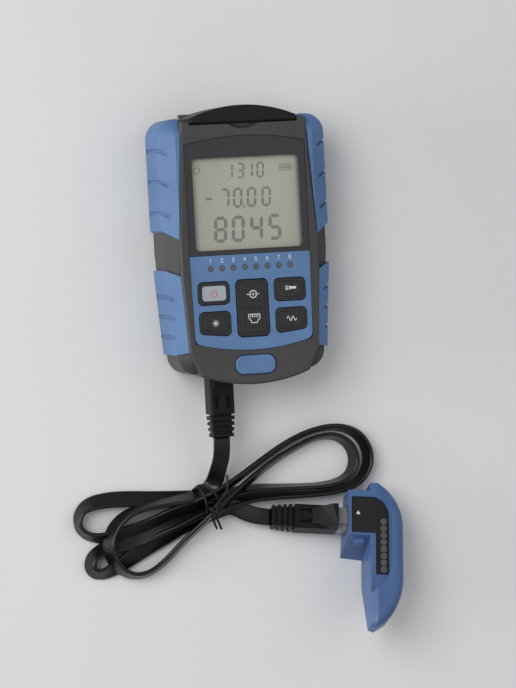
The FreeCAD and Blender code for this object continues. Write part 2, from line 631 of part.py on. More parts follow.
def grips():
    """Four soft grips over the housing's long sides, each with slanting notches."""
    outer = envelope("grip_outer", "0", "face_height + grip_rise")
    bevel_foot = value("face_height + grip_rise - front_bevel_high")
    soften(outer, "Fillet", lambda e: level(e, bevel_foot), "grip_edge",
           Radius="edge_softness")
    inner = envelope("grip_inner", "grip_thick", "face_height")
    middle = envelope("grip_notch_floor", "notch_depth",
                      "face_height + grip_rise - notch_depth")
    skin = cut("grip_skin", outer, inner)
    groove_skin = cut("groove_skin", outer, middle)
    beyond = "half_wide + wall"
    head = "top_edge + wall"
    spans = {
        "upper": [("face_top_half", head), ("face_top_half", "top_edge - grip_thick"),
                  ("face_waist_half", "face_waist_top"),
                  (beyond, "face_waist_top + upper_grip_slant"), (beyond, head)],
        "lower": [("face_waist_half", "-face_waist_low"),
                  ("face_low_half", "-face_low_level"),
                  (beyond, "-face_low_level - lower_grip_drop"),
                  (beyond, "-face_waist_low + lower_grip_slant")]}
    notch_rows = {"upper": ("upper_notch", "-upper_notch_pitch", 3),
                  "lower": ("-lower_notch", "-lower_notch_pitch", 3)}
    for level_name, corners in spans.items():
        first, pitch, count = notch_rows[level_name]
        for side_name, side in (("right", 1), ("left", -1)):
            name = f"grip_{level_name}_{side_name}"
            region = body(name + "_region")
            placed = [(f"{side} * ({x})", y) for x, y in corners]
            pad(region, outline(sketch(region, name + "_plan", "grip_foot"), placed),
                "face + wall - grip_foot")
            notches = []
            for step in range(count):
                bar = doc.addObject("Part::Box", f"{name}_notch_{step}")
                slant = value("notch_tilt") * side + (180 if side < 0 else 0)
                bar.Placement.Rotation = FreeCAD.Rotation(FreeCAD.Vector(0, 0, 1), slant)
                bind(bar, Length="wall * 3", Width="notch_wide", Height="face",
                     Placement__Base__x=f"{side} * (half_wide - wall * 2)",
                     Placement__Base__y=f"{first} + ({pitch}) * {step}",
                     Placement__Base__z="rear_bevel")
                notches.append(bar)
            plain = common(name + "_plain", skin, region)
            grooves = common(name + "_grooves", groove_skin,
                             fuse(name + "_bars", *notches))
            finish(cut(name, plain, grooves), name)


def plate(name, drawing_corners, foot, thickness, radius=None):
    """A flat piece of one outline, as a body."""
    made = body(name)
    drawing = sketch(made, name + "_plan", foot)
    if radius is None:
        outline(drawing, drawing_corners)
    else:
        rounded(drawing, drawing_corners, radius)
    pad(made, drawing, thickness)
    return made


# ----------------------------------------------------------- display and keypad

def display():
    bezel = plate("bezel_body", panel_corners("0")[2:], "recess", "panel_thick")
    window = rounded(sketch(bezel, "bezel_window", "recess + panel_thick"), WINDOW,
                     "window_radius")
    pocket(bezel, window, "panel_thick")
    finish(bezel, "display_bezel")
    lens = plate("lens_body", grown(WINDOW, "lens_lap"), "ceiling", "wall", "window_radius")
    finish(lens, "display_lens")
    glass = plate("lcd_body", grown(WINDOW, "glass_lap"), "ceiling - glass_thick",
                  "glass_thick", "window_radius")
    finish(glass, "lcd_glass")
    light = plate("backlight_body", grown(WINDOW, "lens_lap"),
                  "ceiling - glass_thick - backlight_thick", "backlight_thick")
    finish(light, "lcd_backlight")


def keypad_panel():
    low = panel_corners("0")
    corners = [low[0], low[1], (low[2][0], "-panel_low - panel_gap"),
               (low[5][0], "-panel_low - panel_gap")]
    panel = plate("keypad_body", corners, "recess", "panel_thick")
    top = value("recess + panel_thick")
    soften(panel, "Fillet", lambda e: upright(e) and e.Vertexes[0].Y < value("-waist_level")
           - value("keypad_radius") * 2, "keypad_corners", Radius="keypad_radius")
    for name, corners, gap in KEY_HOLES:
        hole = rounded(sketch(panel, f"{name}_opening", "recess + panel_thick"),
                       grown(corners, gap), f"key_radius + {gap}")
        pocket(panel, hole, "panel_thick")
    holes = [rod(f"light_opening_{i}", "z", "light_radius + light_gap",
                 (x, "-light_level", "recess"), "panel_thick")
             for i, x in enumerate(LIGHTS)]
    finish(cut("keypad_panel", panel, *holes), "keypad_panel")


def key(name, corners, raised=True):
    """A key cap: a flange under the face, a rimmed cap and a raised middle."""
    cap = plate(name + "_body", grown(corners, "key_flange"), "key_foot", "flange_thick",
                "key_radius + key_flange")
    top = "recess + key_proud"
    pad(cap, rounded(sketch(cap, name + "_crown", "key_foot"), corners, "key_radius"),
        f"{top} - key_foot")
    crown = value(top)
    soften(cap, "Fillet", lambda e: level(e, crown), name + "_edge", Radius="key_gap")
    if raised:
        middle = rounded(sketch(cap, name + "_plateau", top),
                         grown(corners, "-key_rim"), "key_radius - key_rim / 2")
        pad(cap, middle, "plateau_rise")
    return cap


def keys():
    for name, corners in KEYS.items():
        finish(key(name, corners, name != "power_key"), name)
    lit = plate("power_cap_body", grown(KEYS["power_key"], "-key_rim"),
                "recess + key_proud", "plateau_rise", "key_radius - key_rim / 2")
    finish(lit, "power_key_cap")
    top = "recess + key_proud"
    rocker = plate("rocker_body", ROCKER, "key_foot", f"{top} - key_foot", "key_radius")
    crown = value(top)
    soften(rocker, "Fillet", lambda e: level(e, crown), "rocker_edge", Radius="key_gap")
    pad(rocker, rounded(sketch(rocker, "rocker_plateau", top), grown(ROCKER, "-key_rim"),
                        "key_radius - key_rim / 2"), "plateau_rise")
    middle = "(-(rocker_top + rocker_low) / 2)"
    slot = rectangle("-groove_half", "groove_half", f"{middle} - groove_wide / 2",
                     f"{middle} + groove_wide / 2")
    pocket(rocker, outline(sketch(rocker, "rocker_groove", f"{top} + plateau_rise"), slot),
           "plateau_rise")
    axle = rod("rocker_axle", "x", "trunnion_radius",
               ("-rocker_wide / 2 - trunnion_reach", middle, ROCKER_PIVOT),
               "rocker_wide + 2 * trunnion_reach")
    finish(fuse("reference_key", rocker, axle), "reference_key")


ROCKER_PIVOT = "(ceiling - trunnion_radius - key_slack)"


def release_button():
    foot = "(bay_roof + retainer_thick + release_travel + release_slack)"
    top = "(face + release_proud)"
    button = plate("release_body", RELEASE, foot, f"{top} - {foot}", "release_radius")
    crown = value(top)
    soften(button, "Fillet", lambda e: level(e, crown), "release_edge", Radius="face_bevel")
    flange = outline(sketch(button, "release_flange", "ceiling - key_slack - flange_thick"),
                     grown(RELEASE, "release_flange"))
    pad(button, flange, "flange_thick")
    seat = rod("spring_seat", "z", "spring_radius + release_slack",
               ("0", "-release_level", foot), "spring_seat")
    finish(cut("release_button", button, seat), "release_button")
    retainer = plate("retainer_body", grown(RELEASE, "release_gap + release_flange"),
                     "bay_roof", "retainer_thick")
    finish(retainer, "release_retainer")
    base = ("0", "-release_level", "bay_roof + retainer_thick")
    reach = "release_travel + release_slack + spring_seat"
    coil = cut("release_spring", rod("spring_outer", "z", "spring_radius", base, reach),
               rod("spring_inner", "z", "spring_radius - spring_wire", base, reach))
    finish(coil, "release_spring")


def indicator_lights():
    lights = []
    base = "(keyboard_height + keyboard_thick)"
    for i, x in enumerate(LIGHTS):
        lights.append(rod(f"light_{i}", "z", "light_radius", (x, "-light_level", base),
                          f"recess + panel_thick + light_proud - {base}"))
    finish(group("indicator_lights", *lights), "indicator_lights")


# --------------------------------------------------------------- dust cover, ports

def dust_cover():
    def arch(inset):
        half = f"cover_half - ({inset})"
        side = f"cover_side - ({inset})"
        return [(f"-({half})", "cover_low"), (half, "cover_low"),
                (half, side, "0", f"cover_top - ({inset})"), (f"-({half})", side)]
    back = "(hinge_height - knuckle_radius)"
    top = "(face - key_slack)"
    cover = plate("cover_body", arch("0"), back, f"{top} - {back}")
    crown = value(top)
    soften(cover, "Fillet", lambda e: level(e, crown), "cover_edge", Radius="cover_radius")
    floor = "(top_edge - grip_thick + cover_gap)"
    under = box("cover_under", ("-half_wide", "half_wide"), ("top_edge - wall * 4", floor),
                ("0", "face - cover_lip"))
    hollow = plate("cover_hollow", arch("cover_wall"), f"{back} + wall * 3",
                   f"face - cover_lip - {back} - wall * 3")
    behind = box("cover_behind", ("-half_wide", "half_wide"),
                 ("top_edge - wall * 4", "hinge_level"),
                 ("0", "hinge_height + knuckle_radius + cover_wall"))
    tools = [under, hollow, behind]
    for side, start, end in (("right", "knuckle_half", "half_wide"),
                             ("left", "-half_wide", "-knuckle_half")):
        tools.append(box(f"cover_notch_{side}", (start, end),
                         ("top_edge - wall * 4", "cover_top + wall"),
                         ("0", "hinge_height + knuckle_radius + cover_gap")))
    knuckle = rod("cover_knuckle", "x", "knuckle_radius",
                  ("-knuckle_half", "hinge_level", "hinge_height"), "2 * knuckle_half")
    bore = rod("cover_bore", "x", "hinge_pin_radius + pin_gap",
               ("-knuckle_half", "hinge_level", "hinge_height"), "2 * knuckle_half")
    shaped = cut("cover_shaped", cover, *tools)
    finish(cut("dust_cover", fuse("cover_with_knuckle", shaped, knuckle), bore),
           "dust_cover")
    reach = "knuckle_half + cover_gap + lug_wide"
    finish(rod("cover_hinge_pin", "x", "hinge_pin_radius",
               (f"-({reach})", "hinge_level", "hinge_height"), f"2 * ({reach})"),
           "cover_hinge_pin")


def ports():
    collar = "top_edge - grip_thick"
    for name, x in PORTS.items():
        barrel = rod(name + "_barrel", "y", "barrel_radius", (x, "barrel_root", "port_height"),
                     "barrel_end - barrel_root")
        flange = rod(name + "_flange", "y", "port_flange_radius", (x, collar, "port_height"),
                     "port_flange_thick")
        bore = rod(name + "_bore", "y", "ferrule_radius",
                   (x, "barrel_end - bore_deep", "port_height"), "bore_deep")
        root = rod(name + "_root", "y", "barrel_radius",
                   (x, "barrel_end - bore_deep - wall", "port_height"),
                   "barrel_root - barrel_end + bore_deep + wall")
        finish(cut(name, fuse(name + "_outside", barrel, flange, root), bore), name)
    root = "barrel_end - bore_deep - wall"
    finish(rod("photodiode", "y", "detector_radius",
               ("port_x", f"{root} - detector_long", "port_height"), "detector_long"),
           "photodiode")
    finish(rod("laser_module", "y", "laser_radius",
               ("-port_x", f"{root} - laser_long", "port_height"), "laser_long"),
           "laser_module")
    stem = rod("torch_stem", "y", "torch_radius", ("0", "barrel_root", "port_height"),
               "torch_end - torch_radius - barrel_root")
    dome = doc.addObject("Part::Sphere", "torch_dome")
    bind(dome, Radius="torch_radius", Placement__Base__y="torch_end - torch_radius",
         Placement__Base__z="port_height")
    finish(fuse("torch_light", stem, dome), "torch_light")


# ------------------------------------------------------------------ inner pieces

def boards():
    corners = [("-board_half", "-board_tail"), ("pocket_left - wall * 2", "-board_tail"),
               ("pocket_left - wall * 2", "-board_low"), ("board_half", "-board_low"),
               ("board_half", "board_top"), ("-board_half", "board_top")]
    board = plate("board_body", corners, "board_height", "board_thick")
    holes = [rod(f"board_hole_{i}", "z", "screw_radius + pin_gap", (x, y, "board_height"),
                 "board_thick") for i, (x, y) in enumerate(CASE_SCREWS)]
    finish(cut("main_board", board, *holes), "main_board")
    chip_top = "board_height + board_thick"
    chips = [box("processor", ("-board_low / 3", "board_low / 3"), ("0", "board_top / 2"),
                 (chip_top, f"{chip_top} + board_thick")),
             box("amplifier", ("board_low / 2", "amplifier_end"), ("0", "board_top / 4"),
                 (chip_top, f"{chip_top} + board_thick")),
             box("display_link", ("-board_low / 2", "board_low / 2"),
                 ("-waist_level - wall * 2", "-waist_level"),
                 (chip_top, "ceiling - glass_thick - backlight_thick"))]
    finish(group("board_chips", *chips), "board_chips")
    reach = "(panel_half - pocket_left)"
    keyboard = plate("keyboard_body",
                     rectangle(f"-{reach}", reach, "-bay_level + wall * 3",
                               "-light_level + light_radius * 2"),
                     "keyboard_height", "keyboard_thick")
    finish(keyboard, "keypad_board")
    base = "keyboard_height + keyboard_thick"
    domes = []
    for name, corners in KEYS.items():
        (x0, y0), (x1, y1) = corners[0], corners[2]
        middle = (f"({x0} + {x1}) / 2", f"({y0} + {y1}) / 2", base)
        domes.append(rod(name + "_dome", "z", "dome_radius", middle, "dome_high"))
    for end in ("rocker_top + dome_radius * 2", "rocker_low - dome_radius * 2"):
        domes.append(rod("rocker_dome", "z", "dome_radius", ("0", f"-({end})", base),
                         "dome_high"))
    finish(group("key_domes", *domes), "key_domes")


def network_jack():
    across = ("-jack_x - jack_wide / 2", "-jack_x + jack_wide / 2")
    shell = box("jack_block", across, ("-bay_level", "-bay_level + jack_deep"),
                ("jack_height - jack_high / 2", "jack_height + jack_high / 2"))
    mouth = box("jack_mouth", ("-jack_x - jack_bore_wide / 2", "-jack_x + jack_bore_wide / 2"),
                ("-bay_level", "-bay_level + jack_bore_deep"),
                ("jack_height - jack_bore_high / 2", "jack_height + jack_bore_high / 2"))
    slot = box("jack_latch_slot",
               ("-jack_x - latch_slot_wide / 2", "-jack_x + latch_slot_wide / 2"),
               ("-bay_level", "-bay_level + jack_bore_deep"),
               ("jack_height", "jack_height + jack_bore_high / 2 + latch_slot_high"))
    finish(cut("network_jack", shell, mouth, slot), "network_jack")


def batteries():
    cells, contacts = [], []
    for row in (-1, 0, 1):
        x = f"{row} * cell_pitch"
        cells.append(rod("cell", "y", "cell_radius", (x, "-cell_low", "cell_height"),
                         "cell_long"))
        for end, wall_y in (("low", TRAY_LOW), ("high", f"{TRAY_TOP} - contact_thick")):
            contacts.append(box(f"contact_{end}",
                                (f"{x} - contact_half", f"{x} + contact_half"),
                                (wall_y, f"{wall_y} + contact_thick"),
                                ("cell_height - contact_half",
                                 "cell_height + contact_half")))
            start = "-cell_low - tray_gap + contact_thick" if end == "low" \
                else "cell_long - cell_low"
            contacts.append(rod(f"contact_spring_{end}", "y", "cell_radius / 2",
                                (x, start, "cell_height"), "tray_gap - contact_thick"))
    finish(group("battery_cells", *cells), "battery_cells")
    finish(group("battery_contacts", *contacts), "battery_contacts")
    door = plate("door_body", DOOR, "0", "door_thick")
    finish(door, "battery_door")


def case_screws():
    screws = []
    shank = "step_height + wall - screw_end_gap"
    for i, (x, y) in enumerate(CASE_SCREWS):
        head = rod(f"screw_head_{i}", "z", "screw_head_radius", (x, y, "screw_sunk"),
                   "screw_head_thick")
        stem = rod(f"screw_stem_{i}", "z", "screw_radius", (x, y, "screw_sunk"),
                   f"{shank} - screw_sunk")
        drive = rod(f"screw_drive_{i}", "z", "screw_radius", (x, y, "screw_sunk"),
                    "screw_head_thick / 2")
        screws.append(cut(f"screw_{i}", fuse(f"screw_whole_{i}", head, stem), drive))
    finish(group("case_screws", *screws), "case_screws")


# ------------------------------------------------------------- plugs, boots, remote

def place(thing, *steps):
    """Move a sub-part by placements, the first given being applied last."""
    whole = FreeCAD.Placement()
    for step in steps:
        whole = whole.multiply(step)
    thing.Placement = whole
    return thing


def shift(x, y, z):
    return FreeCAD.Placement(FreeCAD.Vector(value(x), value(y), value(z)),
                             FreeCAD.Rotation())


def turn(axis, degrees):
    return FreeCAD.Placement(FreeCAD.Vector(), FreeCAD.Rotation(FreeCAD.Vector(*axis),
                                                                degrees))


def plug_and_boot(owner):
    """A network plug that points along +Y with its mouth plane at Y = 0, and its boot."""
    body_of_plug = box(owner + "_plug_body", ("-plug_wide / 2", "plug_wide / 2"),
                       ("-plug_tail", "plug_nose"), ("-plug_high / 2", "plug_high / 2"))
    latch = box(owner + "_plug_latch", ("-latch_wide / 2", "latch_wide / 2"),
                ("-latch_tail", "latch_root"),
                ("plug_high / 2", "plug_high / 2 + latch_thick"))
    plug = fuse(owner + "_plug", body_of_plug, latch)
    back = "-boot_start - boot_body"
    sleeve = body(owner + "_boot_body")
    face = rounded(sketch(sleeve, owner + "_boot_face", "boot_start", "XZ_Plane"),
                   rectangle("-boot_wide / 2", "boot_wide / 2", "-boot_high / 2",
                             "boot_high / 2"), "boot_radius")
    pad(sleeve, face, "boot_body")
    rib_pitch = "(boot_reach - boot_start - boot_body) / rib_count"
    ribs = [box(owner + "_neck", ("-neck_wide / 2", "neck_wide / 2"),
                ("-boot_reach", back), ("-neck_high / 2", "neck_high / 2"))]
    for count in range(int(value("rib_count"))):
        far = f"-boot_reach + ({rib_pitch}) * {count}"
        grow = f"(rib_first + rib_step * {count})"
        ribs.append(box(f"{owner}_rib_{count}",
                        (f"-neck_wide / 2 - {grow}", f"neck_wide / 2 + {grow}"),
                        (far, f"{far} + rib_long"),
                        (f"-neck_high / 2 - {grow} * rib_tall",
                         f"neck_high / 2 + {grow} * rib_tall")))
    room = box(owner + "_boot_room", ("-plug_wide / 2", "plug_wide / 2"),
               ("-plug_tail", "0"), ("-plug_high / 2", "plug_high / 2"))
    gap = box(owner + "_ear_gap", ("-ear_gap / 2", "ear_gap / 2"),
              ("-boot_start - ear_long", "0"),
              ("plug_high / 2", "boot_high"))
    boot = cut(owner + "_boot", fuse(owner + "_boot_whole", sleeve, *ribs), room, gap)
    return plug, boot


def remote_place():
    """Where the remote unit lies: turned, rolled back and leaning on its slanting foot."""
    return [shift("remote_x", "remote_y", "remote_lift"),
            turn((0, 0, 1), -value("remote_turn")), turn((1, 0, 0), -value("remote_roll")),
            turn((0, 1, 0), -value("remote_lean"))]


def floor_slab(name, low, high):
    """A level slab under the resting remote unit, given in the unit's own frame."""
    slab = doc.addObject("Part::Box", name)
    bind(slab, Length="4 * remote_half", Width="4 * remote_half", Height=f"{high} - ({low})")
    corner = shift("remote_x - 2 * remote_half", "remote_y - 2 * remote_half", low)
    resting = FreeCAD.Placement()
    for step in remote_place():
        resting = resting.multiply(step)
    slab.Placement = resting.inverse().multiply(corner)
    return slab


def remote_outline(inset):
    """The remote unit from above: straight inside, bellied outside."""
    tip, end = f"remote_half - ({inset})", f"-remote_half + ({inset})"
    belly = f"remote_belly - ({inset})"
    return [(inset, end),
            (f"wing_end_x - ({inset})", "-wing_end_y", f"wing_bow_x - ({inset})",
             "-wing_bow_y"),
            (belly, "-belly_from"),
            (belly, "belly_to", f"tip_bow_x - ({inset})", "tip_bow_y"),
            ("tip_wide", tip), (inset, tip)]


def remote_section(foot, crown, inset):
    """Side view of the socket block: straight at the back, sloped in front."""
    slope = "(block_side - block_foot) / remote_high"
    return [(f"block_top - ({inset})", foot), (f"block_top - ({inset})", crown),
            (f"block_foot + {slope} * ({crown}) + ({inset})", crown),
            (f"block_foot + {slope} * ({foot}) + ({inset})", foot)]


REMOTE_ROOF = "(remote_high - remote_wall - label_thick - label_sunk)"


def remote_unit():
    crest = "(remote_high + rib_rise)"
    shell = body("remote_body")
    pad(shell, outline(sketch(shell, "remote_plan"), remote_outline("0")), crest)
    top = value(crest)
    soften(shell, "Fillet", lambda e: level(e, top) and e.CenterOfMass.x > value("rim_from"),
           "remote_rim", Radius="remote_bevel")
    lowered = [("-wall", "-rib_end"), ("0", "-rib_end"), ("rib_foot_x", "-rib_foot"),
               ("rib_inner", "-rib_bend"),
               ("rib_inner", "rib_top", "rib_bow_x", "remote_half - rib_bow_back"),
               ("rib_tip", "remote_half + wall"), ("-wall", "remote_half + wall")]
    pocket(shell, outline(sketch(shell, "label_field", crest), lowered), "rib_rise")
    soften(shell, "Chamfer", lambda e: level(e, top) and e.BoundBox.XMax < NEAR,
           "wing_edge", Size="wing_bevel")
    block = outline(sketch(shell, "remote_block_plan", "-block_deep", "YZ_Plane"),
                    remote_section("0", "remote_high", "0"))
    pad(shell, block, "block_deep + remote_wall")
    label = outline(sketch(shell, "label_seat", "remote_high"), label_corners("0"))
    pocket(shell, label, "label_thick + label_sunk")
    inner = body("remote_inner")
    pad(inner, outline(sketch(inner, "remote_inner_plan"), remote_outline("remote_wall")),
        REMOTE_ROOF)
    well = outline(sketch(inner, "remote_well", "-block_deep + remote_wall", "YZ_Plane"),
                   remote_section("0", REMOTE_ROOF, "remote_wall"))
    pad(inner, well, "block_deep + remote_wall / 2")
    below = floor_slab("remote_below", "-remote_half", "0")
    slope = "undercut_rise / (remote_half - undercut_from)"
    far = "remote_half + wall"
    rise = f"({far} - undercut_from) * {slope}"
    under = body("remote_undercut")
    wedge = [("-undercut_from", "0"), (f"-({far})", rise), (f"-({far})", "-wall"),
             ("-undercut_from", "-wall")]
    pad(under, outline(sketch(under, "wedge_plan", "-block_deep - wall", "YZ_Plane"), wedge),
        "block_deep + remote_belly + wall * 2")
    panel = body("remote_panel")
    strip = [(f"-({far})", rise), ("-undercut_from", "0"), (far, "0"), (far, "remote_wall"),
             ("-undercut_from", "remote_wall"), (f"-({far})", f"{rise} + remote_wall")]
    pad(panel, outline(sketch(panel, "panel_plan", "-block_deep - wall", "YZ_Plane"), strip),
        "block_deep + remote_belly + wall * 2")
    band = fuse("remote_band", panel, floor_slab("remote_foot", "0", "remote_wall"))
    mouth_centre = ("remote_jack_level", "remote_jack_height")
    port = box("remote_mouth", ("-block_deep - wall", "-block_deep + remote_jack_deep"),
               (f"{mouth_centre[0]} - jack_wide / 2 + remote_wall / 2",
                f"{mouth_centre[0]} + jack_wide / 2 - remote_wall / 2"),
               (f"{mouth_centre[1]} - jack_bore_high / 2 - remote_wall / 2",
                f"{mouth_centre[1]} + jack_bore_high / 2 + latch_slot_high + label_thick"))
    catch = box("remote_catch", ("-catch_out", "-catch_in"),
                ("block_side - catch_rise", "block_side"), ("catch_low", "catch_high"))
    hollow = cut("remote_hollow", fuse("remote_with_catch", shell, catch), inner, port)
    whole = cut("remote_shell", hollow, below, under)
    back = cut("remote_back", common("remote_back_whole", inner, band), below, under)
    jack = cut("remote_jack",
               box("remote_jack_block", ("-block_deep", "-block_deep + remote_jack_deep"),
                   (f"{mouth_centre[0]} - jack_wide / 2 + remote_wall / 2",
                    f"{mouth_centre[0]} + jack_wide / 2 - remote_wall / 2"),
                   (f"{mouth_centre[1]} - jack_bore_high / 2 - remote_wall / 2",
                    f"{mouth_centre[1]} + jack_bore_high / 2 + latch_slot_high + label_thick")),
               box("remote_jack_bore", ("-block_deep", "-block_deep + jack_bore_deep"),
                   (f"{mouth_centre[0]} - jack_bore_wide / 2",
                    f"{mouth_centre[0]} + jack_bore_wide / 2"),
                   (f"{mouth_centre[1]} - jack_bore_high / 2",
                    f"{mouth_centre[1]} + jack_bore_high / 2")),
               box("remote_latch_slot", ("-block_deep", "-block_deep + jack_bore_deep"),
                   (f"{mouth_centre[0]} - latch_slot_wide / 2",
                    f"{mouth_centre[0]} + latch_slot_wide / 2"),
                   (mouth_centre[1],
                    f"{mouth_centre[1]} + jack_bore_high / 2 + latch_slot_high")))
    board_x = "(-block_deep + remote_jack_deep)"
    board = group("remote_board",
                  box("remote_board_plate", (board_x, f"{board_x} + remote_board_thick"),
                      ("block_side + remote_wall", "block_top - remote_wall * 2"),
                      ("remote_jack_height - jack_bore_high / 2",
                       "remote_jack_height + latch_slot_high")))
    label_foot = "remote_high - label_sunk - label_thick"
    label_plate = plate("remote_label_body", label_corners("0"), label_foot, "label_thick")
    beacons = [rod(f"beacon_{i}", "z", "beacon_radius",
                   ("beacon_x", f"beacon_first - beacon_pitch * {i}",
                    "remote_high - label_sunk"), "label_thick / 2") for i in range(8)]
    lights = group("remote_lights", *beacons)
    parts = {"remote_shell": whole, "remote_back": back, "remote_jack": jack,
             "remote_board": board, "remote_label": label_plate, "remote_lights": lights}
    for name, thing in parts.items():
        finish(place(thing, *remote_place()), name)


def label_corners(gap):
    """The dark label: a panel on the block and a strip that runs on along the wall."""
    return [("-label_left", "label_side"), ("label_step", "label_side"),
            ("label_step", "-label_end"), ("label_right", "-label_end"),
            ("label_right", "label_shoulder", "label_bow_x", "label_top - label_bow_back"),
            ("label_step", "label_top"),
            ("-label_left", "label_top")]


def connectors():
    plug, boot = plug_and_boot("meter")
    seat = [shift("-jack_x", "-bay_level", "jack_height")]
    finish(place(plug, *seat), "meter_plug")
    finish(place(boot, *seat), "meter_boot")
    plug, boot = plug_and_boot("remote")
    seat = remote_place() + [shift("-block_deep", "remote_jack_level",
                                   "remote_jack_height"), turn((0, 0, 1), -90)]
    finish(place(plug, *seat), "remote_plug")
    finish(place(boot, *seat), "remote_boot")


# ---------------------------------------------------------------------- the cord

METER_LEAD = [(-15.3, -95.5, 20.0), (-15.3, -104.0, 20.0), (-16.2, -112.5, 13.4),
              (-17.4, -120.6, 6.2)]
REMOTE_LEAD = [(12.0, -139.4, 5.7), (2.6, -138.4, 4.5), (-8.3, -131.7, 6.0)]


ARC_SHARE = 0.45


def lead(name, points):
    """A tube along straight runs joined by arcs as large as the runs allow."""
    at = [FreeCAD.Vector(*p) for p in points]
    edges, radii, here = [], [], at[0]
    for index in range(1, len(at) - 1):
        before = at[index - 1] - at[index]
        after = at[index + 1] - at[index]
        half_turn = (math.pi - before.getAngle(after)) / 2
        shorter = min(before.Length, after.Length)
        reach = ARC_SHARE * shorter
        radius = reach / math.tan(half_turn)
        into = at[index] + before.normalize() * reach
        out = at[index] + after.normalize() * reach
        inward = (before + after).normalize()
        centre = at[index] + inward * math.hypot(radius, reach)
        edges.append(Part.LineSegment(here, into).toShape())
        edges.append(Part.Arc(into, centre - inward * radius, out).toShape())
        radii.append(radius)
        here = out
    edges.append(Part.LineSegment(here, at[-1]).toShape())
    path = Part.Wire(edges)
    ring = Part.Wire(Part.Circle(at[0], at[1] - at[0], value("lead_radius")).toShape())
    tube = path.makePipeShell([ring], True, False)
    section = math.pi * value("lead_radius") ** 2
    print(name, "length", round(path.Length, 1), "radii", [round(r, 1) for r in radii],
          "volume ratio", round(tube.Volume / (section * path.Length), 4))
    made = doc.addObject("Part::Feature", name)
    made.Shape = tube
    return finish(made, name)


def cord():
    lead("cord_lead_meter", METER_LEAD)
    lead("cord_lead_remote", REMOTE_LEAD)
    hank = body("hank_body")
    rim = [(-17, -121.5, 10, -106), (36, -94, 55, -94.5), (67, -109, 65, -117),
           (58, -122, 51, -124), (43, -126.8, 25, -128.4), (5, -128, -4, -128.6),
           (-13, -133.5, -24, -138.5),
           (-37, -148, -42, -159), (-54, -165, -61, -166.5), (-70, -165.5, -81, -165.5),
           (-86, -156, -81.5, -151), (-82, -146.5, -92.5, -142), (-92, -130, -84, -121),
           (-70, -119, -42, -120)]
    hole = [(4, -120.5, 24, -107.5), (42, -99.8, 53, -104), (52, -114, 44, -120.5),
            (30, -121.5, 15, -122)]
    for name, corners in (("hank_rim", rim), ("hank_hole", hole)):
        drawing = sketch(hank, name)
        outline(drawing, [tuple(str(v) for v in c) for c in corners])
        if name == "hank_rim":
            pad(hank, drawing, "hank_height")
        else:
            pocket(hank, drawing, "hank_height", up=True)
    finish(hank, "cord_hank")
    across = ("tie_x - tie_wire", "tie_x + tie_wire")
    strap = box("tie_strap", across, ("-tie_low", "-tie_high"), ("0", "hank_height + tie_wire"))
    knot = rod("tie_knot_body", "z", "knot_radius", ("tie_x", "-tie_knot", "hank_height"),
               "knot_high")
    tails = []
    for i, angle in enumerate(("tail_turn", "-tail_back")):
        tail = rod(f"tie_end_{i}", "x", "tie_wire / 2",
                   ("tie_x", "-tie_knot", "hank_height + tail_lift"), "tie_tail")
        tail.Placement.Rotation = FreeCAD.Rotation(FreeCAD.Vector(0, 0, 1),
                                                   value(angle)).multiply(TURN_TO["x"])
        tails.append(tail)
    finish(cut("cord_tie", fuse("tie_whole", strap, knot, *tails), hank), "cord_tie")


# --------------------------------------------------------------- make and write

def check_and_write():
    """Stop on any failed object, then write one file for each sub-part."""
    doc.recompute()
    failed = [o.Name for o in doc.Objects if {"Invalid", "Error"} & set(o.State)]
    bad = [t.Label for t in FINISHED if t.Shape.isNull() or not t.Shape.isValid()]
    if failed or bad:
        raise RuntimeError(f"failed objects {failed}, bad shapes {bad}")
    for thing in FINISHED:
        thing.Shape.exportStep(f"parts/{thing.Label}.step")


front_shell()
rear_shell()
grips()
display()
keypad_panel()
keys()
release_button()
indicator_lights()
dust_cover()
ports()
boards()
network_jack()
batteries()
case_screws()
remote_unit()
connectors()
cord()
check_and_write()
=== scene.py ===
"""Looks of the handheld optical power meter, its tied flat cord and its remote unit.

The meter lies on its back: +X to its right, +Y to its top end, +Z out of its face.
All lengths are metres; MM turns the sizes of small details into metres.
"""

import json
import math

import bmesh
import bpy
from mathutils import Matrix, Vector


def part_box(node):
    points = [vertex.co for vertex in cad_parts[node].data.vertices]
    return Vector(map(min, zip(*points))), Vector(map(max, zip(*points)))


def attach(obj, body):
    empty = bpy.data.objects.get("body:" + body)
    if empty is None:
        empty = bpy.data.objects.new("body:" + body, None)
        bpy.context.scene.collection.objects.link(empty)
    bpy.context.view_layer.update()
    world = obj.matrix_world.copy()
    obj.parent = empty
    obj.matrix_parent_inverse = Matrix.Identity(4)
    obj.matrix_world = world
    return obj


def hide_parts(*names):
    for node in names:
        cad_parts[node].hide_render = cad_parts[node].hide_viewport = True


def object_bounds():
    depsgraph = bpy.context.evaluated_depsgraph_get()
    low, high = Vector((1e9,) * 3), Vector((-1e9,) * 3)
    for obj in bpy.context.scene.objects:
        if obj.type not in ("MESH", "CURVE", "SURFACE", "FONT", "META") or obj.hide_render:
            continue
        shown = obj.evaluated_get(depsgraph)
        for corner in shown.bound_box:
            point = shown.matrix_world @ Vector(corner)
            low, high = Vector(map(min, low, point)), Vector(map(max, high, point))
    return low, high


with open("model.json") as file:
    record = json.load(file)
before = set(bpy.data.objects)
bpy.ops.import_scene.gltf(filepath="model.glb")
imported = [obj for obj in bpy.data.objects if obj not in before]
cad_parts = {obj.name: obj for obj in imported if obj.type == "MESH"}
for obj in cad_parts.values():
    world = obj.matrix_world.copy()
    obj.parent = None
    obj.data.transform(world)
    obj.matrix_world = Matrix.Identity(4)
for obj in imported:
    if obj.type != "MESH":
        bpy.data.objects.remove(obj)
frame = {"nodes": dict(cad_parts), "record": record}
CAD_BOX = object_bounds()
NODES = frame["nodes"]
MM = 0.001
CASE = "case"
